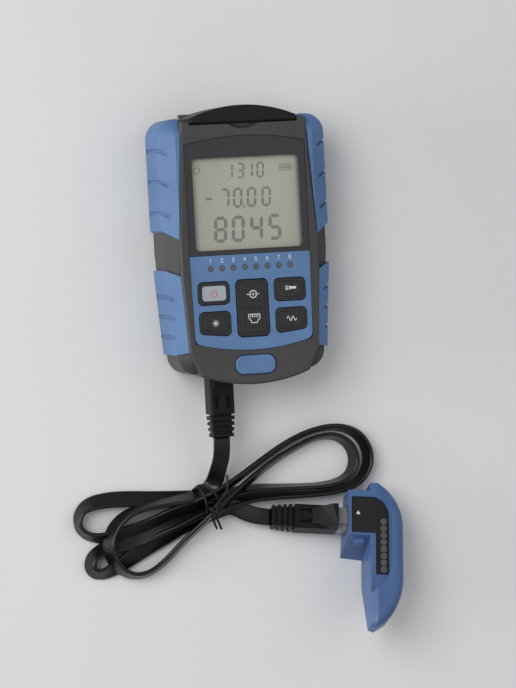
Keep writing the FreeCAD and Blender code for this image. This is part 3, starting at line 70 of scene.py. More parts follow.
PRINT = 0.05            # height of printed marks above their face, mm


# ------------------------------------------------------------------------ camera

SIDE_LEAN = math.radians(15.1)
END_LEAN = math.radians(-2.46)
IMAGE_ROLL = math.radians(3.05)
CAMERA_REACH = 1.6
LENS = 164.9
SENSOR_WIDE = 36.0
VIEW_CENTRE = (10.2, -51.0, 5.0)


def aim_camera():
    """Look down on the floor in front of the meter, from a little to its left."""
    across = Vector((math.cos(SIDE_LEAN), 0, math.sin(SIDE_LEAN)))
    upward = Vector((-math.sin(SIDE_LEAN), 0, math.cos(SIDE_LEAN)))
    back = (upward * math.cos(END_LEAN) - Vector((0, math.sin(END_LEAN), 0))).normalized()
    along = back.cross(across)
    right = across * math.cos(IMAGE_ROLL) - along * math.sin(IMAGE_ROLL)
    above = back.cross(right)
    centre = Vector(VIEW_CENTRE) * MM
    data = bpy.data.cameras.new("camera")
    data.lens = LENS
    data.sensor_width = SENSOR_WIDE
    camera = bpy.data.objects.new("camera", data)
    bpy.context.scene.collection.objects.link(camera)
    turned = Matrix((right, above, back)).transposed().to_4x4()
    turned.translation = centre + back * CAMERA_REACH
    camera.matrix_world = turned
    bpy.context.scene.camera = camera


# --------------------------------------------------------------------- materials

def node_group(name, inputs, outputs, build):
    """A shared shader group; build(nodes, link, source, sink) fills it."""
    tree = bpy.data.node_groups.new(name, "ShaderNodeTree")
    kinds = {"value": "NodeSocketFloat", "colour": "NodeSocketColor",
             "vector": "NodeSocketVector"}
    for label, kind, default in inputs:
        socket = tree.interface.new_socket(label, in_out="INPUT", socket_type=kinds[kind])
        socket.default_value = default
    for label, kind in outputs:
        tree.interface.new_socket(label, in_out="OUTPUT", socket_type=kinds[kind])
    source = tree.nodes.new("NodeGroupInput")
    sink = tree.nodes.new("NodeGroupOutput")
    build(tree.nodes, tree.links.new, source, sink)
    return tree


def moulded_grain():
    """The fine spark-eroded grain of moulded plastic, as a height."""
    def build(nodes, link, source, sink):
        place = nodes.new("ShaderNodeTexCoord")
        noise = nodes.new("ShaderNodeTexNoise")
        noise.inputs["Detail"].default_value = 3.0
        noise.inputs["Roughness"].default_value = 0.6
        pits = nodes.new("ShaderNodeTexVoronoi")
        pits.feature = "SMOOTH_F1"
        add = nodes.new("ShaderNodeMath")
        add.operation = "ADD"
        link(place.outputs["Object"], noise.inputs["Vector"])
        link(place.outputs["Object"], pits.inputs["Vector"])
        link(source.outputs["Scale"], noise.inputs["Scale"])
        link(source.outputs["Scale"], pits.inputs["Scale"])
        link(noise.outputs["Fac"], add.inputs[0])
        link(pits.outputs["Distance"], add.inputs[1])
        link(add.outputs[0], sink.inputs["Height"])
    return node_group("moulded_grain", [("Scale", "value", 2500.0)], [("Height", "value")],
                      build)


def colour_drift():
    """Slight change of colour over a moulding, with paler rubbed edges."""
    def build(nodes, link, source, sink):
        place = nodes.new("ShaderNodeTexCoord")
        noise = nodes.new("ShaderNodeTexNoise")
        noise.inputs["Detail"].default_value = 5.0
        spread = nodes.new("ShaderNodeMapRange")
        spread.inputs["From Min"].default_value = 0.3
        spread.inputs["From Max"].default_value = 0.7
        spread.inputs["To Min"].default_value = 0.9
        spread.inputs["To Max"].default_value = 1.08
        shade = nodes.new("ShaderNodeVectorMath")
        shade.operation = "SCALE"
        geometry = nodes.new("ShaderNodeNewGeometry")
        edge = nodes.new("ShaderNodeMapRange")
        edge.inputs["From Min"].default_value = 0.53
        edge.inputs["From Max"].default_value = 0.66
        wear = nodes.new("ShaderNodeMath")
        wear.operation = "MULTIPLY"
        paler = nodes.new("ShaderNodeMix")
        paler.data_type = "RGBA"
        link(place.outputs["Object"], noise.inputs["Vector"])
        link(source.outputs["Scale"], noise.inputs["Scale"])
        link(noise.outputs["Fac"], spread.inputs["Value"])
        link(source.outputs["Color"], shade.inputs[0])
        link(spread.outputs[0], shade.inputs["Scale"])
        link(geometry.outputs["Pointiness"], edge.inputs["Value"])
        link(edge.outputs[0], wear.inputs[0])
        link(source.outputs["Wear"], wear.inputs[1])
        link(wear.outputs[0], paler.inputs["Factor"])
        link(shade.outputs[0], paler.inputs["A"])
        link(source.outputs["Worn"], paler.inputs["B"])
        link(paler.outputs["Result"], sink.inputs["Color"])
    return node_group(
        "colour_drift",
        [("Color", "colour", (0.5, 0.5, 0.5, 1)), ("Worn", "colour", (0.7, 0.7, 0.7, 1)),
         ("Wear", "value", 0.3), ("Scale", "value", 40.0)],
        [("Color", "colour")], build)


GRAIN = moulded_grain()
DRIFT = colour_drift()


def material(name, colour, rough, grain=2500.0, depth=0.04, wear=0.25, metal=0.0,
             edge=0.3, coat=0.0, alpha=1.0, drift=45.0, shine=0.5):
    """A moulded or metal surface: drifting colour, fine grain and softened edges."""
    made = bpy.data.materials.new(name)
    made.use_nodes = True
    nodes, link = made.node_tree.nodes, made.node_tree.links.new
    shader = nodes["Principled BSDF"]
    shader.inputs["Metallic"].default_value = metal
    shader.inputs["Coat Weight"].default_value = coat
    shader.inputs["Coat Roughness"].default_value = 0.2
    shader.inputs["Alpha"].default_value = alpha
    shader.inputs["Specular IOR Level"].default_value = shine
    tint = nodes.new("ShaderNodeGroup")
    tint.node_tree = DRIFT
    tint.inputs["Color"].default_value = (*colour, 1.0)
    tint.inputs["Worn"].default_value = (*[min(1.0, c * 1.5 + 0.02) for c in colour], 1.0)
    tint.inputs["Wear"].default_value = wear
    tint.inputs["Scale"].default_value = drift
    link(tint.outputs["Color"], shader.inputs["Base Color"])
    height = nodes.new("ShaderNodeGroup")
    height.node_tree = GRAIN
    height.inputs["Scale"].default_value = grain
    polish = nodes.new("ShaderNodeMapRange")
    polish.inputs["From Max"].default_value = 1.6
    polish.inputs["To Min"].default_value = rough - 0.06
    polish.inputs["To Max"].default_value = rough + 0.06
    link(height.outputs["Height"], polish.inputs["Value"])
    link(polish.outputs[0], shader.inputs["Roughness"])
    bump = nodes.new("ShaderNodeBump")
    bump.inputs["Strength"].default_value = depth
    bump.inputs["Distance"].default_value = 0.2 * MM
    link(height.outputs["Height"], bump.inputs["Height"])
    if edge:
        round_edge = nodes.new("ShaderNodeBevel")
        round_edge.samples = 4
        round_edge.inputs["Radius"].default_value = edge * MM
        link(round_edge.outputs["Normal"], bump.inputs["Normal"])
    link(bump.outputs["Normal"], shader.inputs["Normal"])
    return made


def make_materials():
    """Every finish of the part and its floor, by the name of its slot."""
    return {
        "shell_grey": material("shell_grey", (0.044, 0.043, 0.045), 0.5, depth=0.12,
                               shine=0.42),
        "cover_black": material("cover_black", (0.006, 0.006, 0.0065), 0.45, depth=0.06,
                                shine=0.25),
        "grip_blue": material("grip_blue", (0.076, 0.160, 0.335), 0.52, depth=0.1,
                              wear=0.15),
        "panel_blue": material("panel_blue", (0.086, 0.176, 0.346), 0.42, depth=0.05,
                               wear=0.15),
        "bezel_dark": material("bezel_dark", (0.024, 0.023, 0.026), 0.4, depth=0.04,
                               shine=0.42),
        "key_black": material("key_black", (0.015, 0.015, 0.016), 0.44, depth=0.06,
                              shine=0.42),
        "key_light": material("key_light", (0.33, 0.37, 0.41), 0.4, wear=0.0, edge=0.15),
        "lens": material("lens", (0.9, 0.92, 0.9), 0.12, depth=0.0, wear=0.0, edge=0.0,
                         alpha=0.05),
        "lcd": material("lcd", (0.385, 0.388, 0.315), 0.55, grain=900.0, depth=0.01,
                        wear=0.0, edge=0.0, drift=12.0),
        "backlight_white": material("backlight_white", (0.8, 0.8, 0.78), 0.5),
        "light_clear": material("light_clear", (0.075, 0.075, 0.085), 0.3, wear=0.1,
                                edge=0.1, coat=0.4),
        "steel": material("steel", (0.55, 0.55, 0.57), 0.32, grain=600.0, metal=1.0),
        "port_metal": material("port_metal", (0.5, 0.5, 0.52), 0.3, grain=400.0, metal=1.0),
        "board_green": material("board_green", (0.03, 0.18, 0.07), 0.45),
        "chip_black": material("chip_black", (0.015, 0.015, 0.016), 0.5),
        "dome_metal": material("dome_metal", (0.6, 0.6, 0.58), 0.35, metal=1.0),
        "jack_black": material("jack_black", (0.02, 0.02, 0.021), 0.45),
        "plug_clear": material("plug_clear", (0.30, 0.30, 0.31), 0.25, wear=0.1,
                               edge=0.2, coat=0.5),
        "boot_black": material("boot_black", (0.0045, 0.0045, 0.0045), 0.45, depth=0.1,
                               edge=0.4, wear=0.05, shine=0.2),
        "cord_black": material("cord_black", (0.0055, 0.0055, 0.006), 0.28, depth=0.05,
                               edge=0.0, wear=0.0, shine=0.4),
        "tie_black": material("tie_black", (0.004, 0.004, 0.004), 0.45, edge=0.0,
                              shine=0.3),
        # Near-black matte finish of painted shade: it stands for the dark inside the boots'
        # openings.
        "painted_shade_black": material("painted_shade_black", (0.001, 0.001, 0.001), 0.9, edge=0.0,
                              shine=0.05),
        "remote_blue": material("remote_blue", (0.052, 0.114, 0.268), 0.42, depth=0.08,
                                wear=0.25, edge=0.4),
        "label_black": material("label_black", (0.010, 0.010, 0.011), 0.45, wear=0.0,
                                shine=0.3),
        "print_white": material("print_white", (0.66, 0.68, 0.70), 0.5, wear=0.0,
                                edge=0.0),
        "print_grey": material("print_grey", (0.22, 0.22, 0.23), 0.5, wear=0.0, edge=0.0),
        "print_red": material("print_red", (0.56, 0.04, 0.07), 0.45, wear=0.0, edge=0.0),
        "segment_dark": material("segment_dark", (0.155, 0.155, 0.140), 0.6, wear=0.0,
                                 edge=0.0),
        "floor": material("floor", (0.735, 0.735, 0.735), 0.8, wear=0.0, edge=0.0,
                          depth=0.0, drift=0.8),
    }


MATERIALS = make_materials()


def dress_nodes():
    """Give each carried-over node the material of its own slot."""
    for entry in frame["record"]["subparts"]:
        thing = NODES[entry["node"]]
        thing.data.materials.clear()
        thing.data.materials.append(MATERIALS[entry["material_slot"]])


# ------------------------------------------------------------------ mesh helpers

def piece(name, mesh_data, kind, body_name, smooth=True):
    """Put a finished mesh in the scene with its material and let it ride a body."""
    thing = bpy.data.objects.new(name, mesh_data)
    bpy.context.scene.collection.objects.link(thing)
    mesh_data.materials.append(MATERIALS[kind])
    for face in mesh_data.polygons:
        face.use_smooth = smooth
    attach(thing, body_name)
    return thing


def mesh_from(build):
    """A mesh made by a bmesh builder."""
    form = bmesh.new()
    build(form)
    bmesh.ops.recalc_face_normals(form, faces=form.faces)
    data = bpy.data.meshes.new("mesh")
    form.to_mesh(data)
    form.free()
    return data


def wall_between(form, foot, head):
    """The faces that join two outlines of the same number of points."""
    for i in range(len(foot)):
        j = (i + 1) % len(foot)
        form.faces.new((foot[i], foot[j], head[j], head[i]))


def prism(form, corners, low, high, to=None):
    """A straight-sided plate of an outline between two levels; sizes in millimetres."""
    to_place = to or (lambda p: p * MM)
    foot = [form.verts.new(to_place(Vector((x, y, low)))) for x, y in corners]
    head = [form.verts.new(to_place(Vector((x, y, high)))) for x, y in corners]
    form.faces.new(foot[::-1])
    form.faces.new(head)
    wall_between(form, foot, head)


def ring(form, centre, inner, outer, low, high, start=0.0, sweep=360.0, to=None, steps=28):
    """A flat ring or arc of a ring."""
    count = max(4, int(steps * sweep / 360))
    for i in range(count):
        a, b = (math.radians(start + sweep * k / count) for k in (i, i + 1))
        corners = [(centre[0] + r * math.cos(t), centre[1] + r * math.sin(t))
                   for r, t in ((inner, a), (outer, a), (outer, b), (inner, b))]
        prism(form, corners, low, high, to)


def stroke(form, a, b, wide, low, high, to=None):
    """A straight printed stroke between two points."""
    run = Vector((b[0] - a[0], b[1] - a[1])).normalized() * (wide / 2)
    side = Vector((-run.y, run.x))
    corners = [(a[0] - side.x, a[1] - side.y), (b[0] - side.x, b[1] - side.y),
               (b[0] + side.x, b[1] + side.y), (a[0] + side.x, a[1] + side.y)]
    prism(form, corners, low, high, to)


NUMERAL_RELIEF = 0.04


def numeral(text, size, centre, level, kind, name, body_name, turn=None):
    """One printed numeral, centred on a point; turn places it on a tilted face."""
    font = bpy.data.curves.new("numeral", "FONT")
    font.body = text
    font.size = size * MM
    font.align_x = "CENTER"
    font.align_y = "CENTER"
    font.extrude = NUMERAL_RELIEF * MM
    holder = bpy.data.objects.new("numeral", font)
    data = bpy.data.meshes.new_from_object(holder)
    bpy.data.objects.remove(holder)
    bpy.data.curves.remove(font)
    data.transform(Matrix.Translation(Vector((*centre, level)) * MM))
    if turn is not None:
        data.transform(turn)
    return piece(name, data, kind, body_name, smooth=False)


# ----------------------------------------------------------------------- display

SEGMENTS = {"0": "abcdef", "1": "bc", "3": "abcdg", "4": "bcfg", "5": "acdfg",
            "7": "abc", "8": "abcdefg"}


# Each row's foot, figure width, figure height and bar width, then its figures with
# their left edges: the wavelength, the level and the large lower row.
DISPLAY_ROWS = [
    (33.0, 3.9, 7.9, 1.0, ((-9.7, "1"), (-3.9, "3"), (0.6, "1"), (6.3, "0"))),
    (18.6, 4.9, 9.9, 1.25, ((-13.2, "7"), (-6.6, "0"), (0.5, "0"), (8.1, "0"))),
    (1.6, 6.7, 13.0, 1.7, ((-17.2, "8"), (-8.1, "0"), (1.3, "4"), (10.8, "5"))),
]
BATTERY_OUTLINE = [((18.3, 36.1), (24.0, 36.1)), ((18.3, 39.0), (24.0, 39.0)),
                   ((18.3, 36.0), (18.3, 39.1)), ((24.0, 36.0), (24.0, 39.1)),
                   ((24.5, 36.9), (24.5, 38.2))]
BATTERY_BARS = (19.4, 20.5, 21.7, 22.9)


def digit(form, figure, left, low, wide, high, thick, level):
    """A seven-segment figure with pointed bars and small gaps between them."""
    slant, gap = 0.05 * high, 0.12 * thick
    middle = low + high / 2

    def lean(x, y):
        return (x + slant * (y - low) / high, y)

    def across(y):
        a, b, h = left + gap + thick / 2, left + wide - gap - thick / 2, thick / 2
        return [lean(*p) for p in ((a, y), (a + h, y - h), (b - h, y - h), (b, y),
                                   (b - h, y + h), (a + h, y + h))]

    def upright(x, y0, y1):
        h = thick / 2
        return [lean(*p) for p in ((x, y0), (x + h, y0 + h), (x + h, y1 - h), (x, y1),
                                   (x - h, y1 - h), (x - h, y0 + h))]

    near, far = left + thick / 2, left + wide - thick / 2
    bottom, top = low + thick / 2, low + high - thick / 2
    bars = {"a": across(top), "g": across(middle), "d": across(bottom),
            "f": upright(near, middle + gap, top - gap),
            "e": upright(near, bottom + gap, middle - gap),
            "b": upright(far, middle + gap, top - gap),
            "c": upright(far, bottom + gap, middle - gap)}
    for key in SEGMENTS[figure]:
        prism(form, bars[key], level, level + PRINT)


def display_figures():
    """Figures and symbols on the glass: three rows, the power ring and the battery."""
    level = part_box("lcd_glass")[1].z / MM

    def build(form):
        for low, wide, high, thick, figures in DISPLAY_ROWS:
            for x, figure in figures:
                digit(form, figure, x, low, wide, high, thick, level)
        prism(form, [(-1.4, 18.6), (-0.4, 18.6), (-0.4, 19.7), (-1.4, 19.7)],
              level, level + PRINT)
        stroke(form, (-20.6, 23.6), (-17.0, 23.6), 1.1, level, level + PRINT)
        power_mark(form, (-24.2, 37.9), 1.6, 0.5, level)
        for ends in BATTERY_OUTLINE:
            stroke(form, *ends, 0.35, level, level + PRINT)
        for x in BATTERY_BARS:
            stroke(form, (x, 36.8), (x, 38.3), 0.7, level, level + PRINT)
    figures = piece("display_figures", mesh_from(build), "segment_dark", CASE, smooth=False)


def power_mark(form, centre, radius, wide, level):
    """The open ring and stroke that mark a power key."""
    ring(form, centre, radius - wide / 2, radius + wide / 2, level, level + PRINT,
         start=122, sweep=296)
    stroke(form, (centre[0], centre[1] + 0.2 * radius),
           (centre[0], centre[1] + 1.45 * radius), wide, level, level + PRINT)


def key_marks():
    """Printed symbols on the keys: power, visible beam, lamp, wave, zero and socket."""
    def top(node):
        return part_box(node)[1].z / MM

    def middle(node):
        low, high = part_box(node)
        return (low.x + high.x) / 2 / MM, (low.y + high.y) / 2 / MM

    def power(form):
        x, y = middle("power_key_cap")
        power_mark(form, (x, y - 0.2), 1.5, 0.38, top("power_key_cap"))
    piece("mark_power", mesh_from(power), "print_red", "power", smooth=False)

    def beam(form):
        x, y = middle("laser_key")
        level = top("laser_key")
        ring(form, (x, y + 0.4), 0.0001, 0.75, level, level + PRINT)
        for k in range(8):
            turn = math.radians(45 * k)
            a = (x + 1.05 * math.cos(turn), y + 0.4 + 1.05 * math.sin(turn))
            b = (x + 1.75 * math.cos(turn), y + 0.4 + 1.75 * math.sin(turn))
            stroke(form, a, b, 0.3, level, level + PRINT)
    piece("mark_beam", mesh_from(beam), "print_white", "laser", smooth=False)

    def lamp(form):
        x, y = middle("lamp_key")
        level = top("lamp_key")
        y += 0.7
        prism(form, [(x - 0.6, y - 1.1), (x + 0.3, y - 0.6), (x + 3.0, y - 0.6),
                     (x + 3.0, y + 0.6), (x + 0.3, y + 0.6), (x - 0.6, y + 1.1)],
              level, level + PRINT)
        for k in (-0.9, -0.3, 0.3, 0.9):
            stroke(form, (x - 2.6, y + k), (x - 1.0, y + k * 0.9), 0.3,
                   level, level + PRINT)
    piece("mark_lamp", mesh_from(lamp), "print_white", "lamp", smooth=False)

    def wave(form):
        x, y = middle("wave_key")
        level = top("wave_key")
        crests = [(x + 0.24 * k, y + 0.6 + 1.2 * math.sin(math.pi * k / 5))
                  for k in range(-10, 11)]
        for a, b in zip(crests, crests[1:]):
            stroke(form, a, b, 0.42, level, level + PRINT)
    piece("mark_wave", mesh_from(wave), "print_white", "wave", smooth=False)

    def reference(form):
        level = top("reference_key")
        x, low = 0.3, -24.6
        ring(form, (x, low), 1.55, 2.0, level, level + PRINT)
        stroke(form, (x - 3.2, low), (x - 0.9, low), 0.4, level, level + PRINT)
        stroke(form, (x + 0.9, low), (x + 3.2, low), 0.4, level, level + PRINT)
        stroke(form, (x, low - 0.7), (x, low + 0.7), 0.45, level, level + PRINT)
        socket = [(-2.6, -34.6), (3.2, -34.6), (3.2, -36.6), (1.9, -37.8), (1.9, -38.8),
                  (-1.3, -38.8), (-1.3, -37.8), (-2.6, -36.6)]
        for a, b in zip(socket, socket[1:] + socket[:1]):
            stroke(form, a, b, 0.4, level, level + PRINT)
        for k in range(5):
            stroke(form, (-1.5 + 0.9 * k, -35.0), (-1.5 + 0.9 * k, -36.2), 0.32,
                   level, level + PRINT)
    piece("mark_reference", mesh_from(reference), "print_white", "reference", smooth=False)


NUMERAL_SIZE = 3.0
NUMERAL_ROW = -7.2


def numerals_over_lights():
    """The numerals 1 to 8, one above each indicator light."""
    low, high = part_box("indicator_lights")
    pitch = (high.x - low.x - (high.y - low.y)) / 7
    first = low.x + (high.y - low.y) / 2
    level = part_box("keypad_panel")[1].z / MM
    for count in range(8):
        numeral(str(count + 1), NUMERAL_SIZE, ((first + pitch * count) / MM, NUMERAL_ROW),
                level, "print_white", f"numeral_{count + 1}", CASE)


# -------------------------------------------------------------------------- cord

CABLE_WIDE = 8.6
CABLE_THICK = 2.2
CABLE_RIB = 0.06        # height of the four ribs on each flat side
CABLE_EDGE = 0.8        # how far the rounded edges bulge, as a share of half the thickness
SAMPLES_PER_SPAN = 10

# Route of the flat cable from the meter's boot to the remote unit's boot, with the
# cable's lean at each point: 0 stands on its edge, -90 lies flat.
ROUTE = [
    ((-15.3, -95.5, 20.0), -90), ((-15.3, -104.0, 20.0), -90),
    ((-16.2, -112.5, 13.4), -85), ((-17.4, -120.6, 6.2), -62),
    ((-24.5, -125.4, 7.6), -34),
    ((-37.0, -127.0, 8.4), -20), ((-50.0, -128.2, 8.2), -16), ((-62.0, -131.0, 7.6), -18),
    ((-69.6, -137.0, 7.2), -26), ((-73.2, -144.6, 7.0), -32), ((-72.8, -152.4, 6.8), -32),
    ((-69.0, -159.2, 6.6), -24), ((-61.6, -163.8, 5.6), -18), ((-53.0, -163.4, 4.8), -20),
    ((-43.6, -157.4, 4.6), -24), ((-35.2, -149.0, 5.2), -24), ((-25.2, -140.4, 8.0), -22),
    ((-15.5, -131.6, 10.8), -24), ((-5.0, -124.0, 9.6), -26),
    ((3.5, -118.0, 8.0), -26), ((14.5, -111.0, 5.8), -24), ((27.5, -104.6, 4.8), -20),
    ((39.0, -100.2, 4.4), -16), ((49.0, -100.2, 4.4), -18), ((56.4, -105.6, 4.4), -22),
    ((58.6, -114.4, 4.4), -20), ((54.6, -122.0, 4.4), -12), ((45.0, -125.2, 4.4), -8),
    ((31.0, -125.4, 4.4), -8), ((17.0, -124.6, 4.4), -12), ((4.0, -124.2, 4.2), -18),
    ((-8.0, -125.6, 4.0), -26), ((-20.0, -126.4, 3.8), -36),
    ((-33.0, -126.4, 3.6), -50), ((-48.0, -125.9, 3.4), -62), ((-66.0, -124.3, 3.4), -64),
    ((-79.0, -125.0, 3.8), -50), ((-86.6, -128.6, 4.4), -20), ((-88.4, -135.4, 4.4), -10),
    ((-85.4, -140.8, 4.4), -18), ((-78.0, -143.6, 4.0), -32), ((-66.5, -143.0, 3.0), -60),
    ((-51.0, -138.6, 4.0), -54), ((-38.0, -132.4, 6.0), -40), ((-26.0, -129.0, 8.4), -30),
    ((-12.0, -122.0, 10.4), -26), ((2.0, -113.8, 8.8), -26), ((14.5, -106.4, 6.0), -24),
    ((26.5, -100.2, 4.8), -20), ((38.0, -96.4, 4.4), -16), ((49.5, -95.6, 4.4), -18),
    ((59.6, -99.2, 4.4), -22), ((65.4, -107.6, 4.4), -22), ((65.6, -117.0, 4.4), -18),
    ((60.0, -125.0, 4.4), -12), ((49.0, -128.6, 4.4), -8), ((34.0, -129.4, 4.4), -8),
    ((18.0, -128.8, 4.4), -12), ((4.0, -129.0, 4.2), -16), ((-8.0, -130.8, 4.0), -24),
    ((-20.0, -133.4, 4.4), -34), ((-34.0, -137.6, 4.2), -50), ((-48.0, -142.4, 3.2), -66),
    ((-61.0, -146.6, 2.4), -76), ((-71.0, -148.2, 2.6), -62), ((-78.0, -150.2, 3.8), -36),
    ((-82.6, -153.8, 4.4), -24), ((-82.8, -159.6, 4.4), -26), ((-77.2, -162.2, 3.6), -38),
    ((-68.6, -158.6, 2.6), -64), ((-58.0, -152.8, 2.2), -78), ((-47.0, -147.2, 3.2), -66),
    ((-36.0, -142.4, 4.6), -46), ((-24.0, -137.4, 5.6), -50), ((-15.0, -134.0, 5.8), -62),
    ((-8.3, -131.7, 6.0), -78), ((2.6, -138.4, 4.5), -100), ((12.0, -139.4, 5.7), -110),
]


def route_samples():
    """Points read from the route's own smooth spline, with the lean at each."""
    curve = bpy.data.curves.new("route", "CURVE")
    curve.dimensions = "3D"
    curve.resolution_u = SAMPLES_PER_SPAN
    spline = curve.splines.new("NURBS")
    spline.points.add(len(ROUTE) - 1)
    for point, (place, _) in zip(spline.points, ROUTE):
        point.co = (*(v * MM for v in place), 1.0)
    spline.order_u = 3
    spline.use_endpoint_u = True
    holder = bpy.data.objects.new("route", curve)
    line = bpy.data.meshes.new_from_object(holder)
    points = [v.co.copy() for v in line.vertices]
    bpy.data.objects.remove(holder)
    bpy.data.curves.remove(curve)
    bpy.data.meshes.remove(line)
    spans = len(ROUTE) - 2
    leans = []
    for index in range(len(points)):
        along = spans * index / (len(points) - 1) + 0.5
        before = min(int(along), len(ROUTE) - 2)
        part = min(1.0, along - before)
        leans.append(ROUTE[before][1] * (1 - part) + ROUTE[before + 1][1] * part)
    return points, leans


def cable_section():
    """Half-width and half-thickness of the flat cable round its edge, with four ribs."""
    half_wide, half_thick = CABLE_WIDE / 2, CABLE_THICK / 2
    bulge = half_thick * CABLE_EDGE
    steps = 12
    section = []
    for side in (1, -1):
        for k in range(steps + 1):
            share = 1 - 2 * k / steps
            wide = side * share * (half_wide - bulge)
            rib = CABLE_RIB * math.cos(2 * math.pi * share * 2)
            section.append((wide, side * (half_thick - 0.1 + rib)))
        for k in (1, 2, 3):
            turn = math.pi * k / 4
            section.append((-side * (half_wide - bulge + bulge * math.sin(turn)),
                            side * half_thick * math.cos(turn)))
    return section


def flat_cable():
    """The whole cable as one ribbon from the meter's boot to the remote unit's boot, in
    place of the hidden CAD leads and hank.
    """
    points, leans = route_samples()
    section = cable_section()
    up = Vector((0, 0, 1))

    def build(form):
        rings = []
        for index, here in enumerate(points):
            before = points[max(0, index - 1)]
            after = points[min(len(points) - 1, index + 1)]
            run = (after - before).normalized()
            side = run.cross(up).normalized()
            rise = side.cross(run)
            lean = math.radians(leans[index])
            wide = rise * math.cos(lean) + side * math.sin(lean)
            thick = run.cross(wide)
            rings.append([form.verts.new(here + (wide * w + thick * h) * MM)
                          for w, h in section])
        for first, second in zip(rings, rings[1:]):
            wall_between(form, first, second)
        form.faces.new(rings[0][::-1])
        form.faces.new(rings[-1])
    cable = piece("flat_cable", mesh_from(build), "cord_black", CASE)
    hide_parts("cord_lead_meter", "cord_hank", "cord_lead_remote")
    length = sum((b - a).length for a, b in zip(points, points[1:]))
    return cable, points, length


def tube(name, spots, radius, closed=False):
    """A thin round wire through a few points."""
    curve = bpy.data.curves.new(name, "CURVE")
    curve.dimensions = "3D"
    curve.resolution_u = 8
    curve.bevel_depth = radius * MM
    curve.bevel_resolution = 3
    curve.use_fill_caps = True
    spline = curve.splines.new("NURBS")
    spline.points.add(len(spots) - 1)
    for point, spot in zip(spline.points, spots):
        point.co = (*(v * MM for v in spot), 1.0)
    spline.order_u = 3
    spline.use_endpoint_u = not closed
    spline.use_cyclic_u = closed
    holder = bpy.data.objects.new(name, curve)
    data = bpy.data.meshes.new_from_object(holder)
    bpy.data.objects.remove(holder)
    bpy.data.curves.remove(curve)
    return data


def hank_tie():
    """The round tie: two turns over the bundle, a small knot and three loose tails."""
    def turns(form):
        for spots in (
            [(-27.2, -121.4, 5.0), (-24.0, -119.2, 13.0), (-18.6, -124.6, 16.4),
             (-16.0, -131.6, 15.4), (-17.0, -137.6, 8.0), (-20.0, -134.0, 0.9),
             (-25.6, -125.6, 0.9)],
            [(-28.4, -122.6, 4.0), (-25.8, -120.6, 12.0), (-23.8, -127.6, 15.4),
             (-23.0, -134.6, 13.4), (-21.6, -138.6, 5.0), (-23.0, -133.0, 0.9),
             (-26.8, -126.4, 0.9)],
        ):
            form.from_mesh(tube("turn", spots, 0.65, closed=True))
        for spots in (
            [(-22.4, -131.0, 15.6), (-20.4, -134.0, 17.6), (-18.0, -132.6, 17.0),
             (-19.6, -130.2, 16.4), (-22.0, -132.8, 17.2), (-19.6, -134.6, 16.6),
             (-18.4, -131.4, 17.8)],
            [(-20.8, -131.6, 16.6), (-17.2, -128.0, 17.4), (-13.6, -124.2, 17.0),
             (-12.2, -120.0, 16.4), (-12.5, -115.4, 15.2)],
            [(-20.0, -132.2, 16.6), (-19.2, -135.8, 15.4), (-17.4, -139.4, 13.4),
             (-15.8, -142.8, 11.6)],
            [(-21.6, -132.6, 16.2), (-21.2, -136.8, 14.8), (-18.2, -142.4, 11.8)],
        ):
            form.from_mesh(tube("end", spots, 0.6))
    tie = piece("cord_tie_wire", mesh_from(turns), "tie_black", CASE)
    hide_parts("cord_tie")
    return tie


METER_SOCKET = (-15.3, -57.0, 20.0)
REMOTE_SOCKET = (-11.5, 20.5, 19.4)     # in the remote unit's own frame
BOOT_TOP = 5.8


def boot_guards():
    """The latch guard on each boot, with a tongue between two tapered holes, which are
    drawn as flat near-black plates of painted shade.
    """
    meter_seat = Matrix.Translation(Vector(METER_SOCKET) * MM)
    remote_seat = (remote_frame() @ Matrix.Translation(Vector(REMOTE_SOCKET) * MM)
                   @ Matrix.Rotation(math.radians(-90), 4, "Z"))
    tongue = [(-0.5, -14.0), (-2.4, -22.4), (2.4, -22.4), (0.5, -14.0)]

    # Each boot's seat, with its guard's start, half-width and height there.
    for owner, seat, start, half, rise in (("meter", meter_seat, -10.0, 5.2, 2.4),
                                           ("remote", remote_seat, -5.4, 6.2, 5.2)):
        def guard(form):
            outline = [(-half, start), (-half, start - 3.0), (-5.0, -14.0), (-4.6, -18.2),
                       (4.6, -18.2), (5.0, -14.0), (half, start - 3.0), (half, start)]
            low = [form.verts.new(seat @ (Vector((x, y, BOOT_TOP - 0.5)) * MM))
                   for x, y in outline]
            high = [form.verts.new(seat @ (Vector((
                x * 0.9, y, BOOT_TOP + 0.3 + rise * min(1.0, (y + 18.2) / 8.2))) * MM))
                for x, y in outline]
            form.faces.new(low[::-1])
            form.faces.new(high)
            wall_between(form, low, high)

        # Flat near-black plates over the two holes: painted shade for the dark inside them.
        def opening_shades(form):
            for side in (-1, 1):
                prism(form, [(side * 4.2, -17.6), (side * 3.6, -24.0),
                             (side * 2.2, -24.0), (side * 1.2, -17.6)],
                      BOOT_TOP - 0.3, BOOT_TOP + 0.06,
                      lambda point: seat @ (point * MM))

        def raised_tongue(form):
            prism(form, tongue, BOOT_TOP - 0.5, BOOT_TOP + 0.5,
                  lambda point: seat @ (point * MM))
        for name, build, kind in (("guard", guard, "boot_black"),
                                  ("opening_shades", opening_shades, "painted_shade_black"),
                                  ("tongue", raised_tongue, "boot_black")):
            made = piece(f"{owner}_boot_{name}", mesh_from(build), kind, CASE,
                         smooth=False)


def lay_cord():
    cable, points, length = flat_cable()
    tie = hank_tie()


# ------------------------------------------------------------------- remote unit

REMOTE_PLACE = (59.8, -170.9, 1.2)
REMOTE_TURN = math.radians(-9.2)
REMOTE_PITCH = math.radians(-20.0)
REMOTE_ROLL = math.radians(-8.0)
LABEL_COLUMN = 6.8      # the ringed numerals: their column, first place and pitch
LABEL_FIRST = 18.6
LABEL_PITCH = 3.6


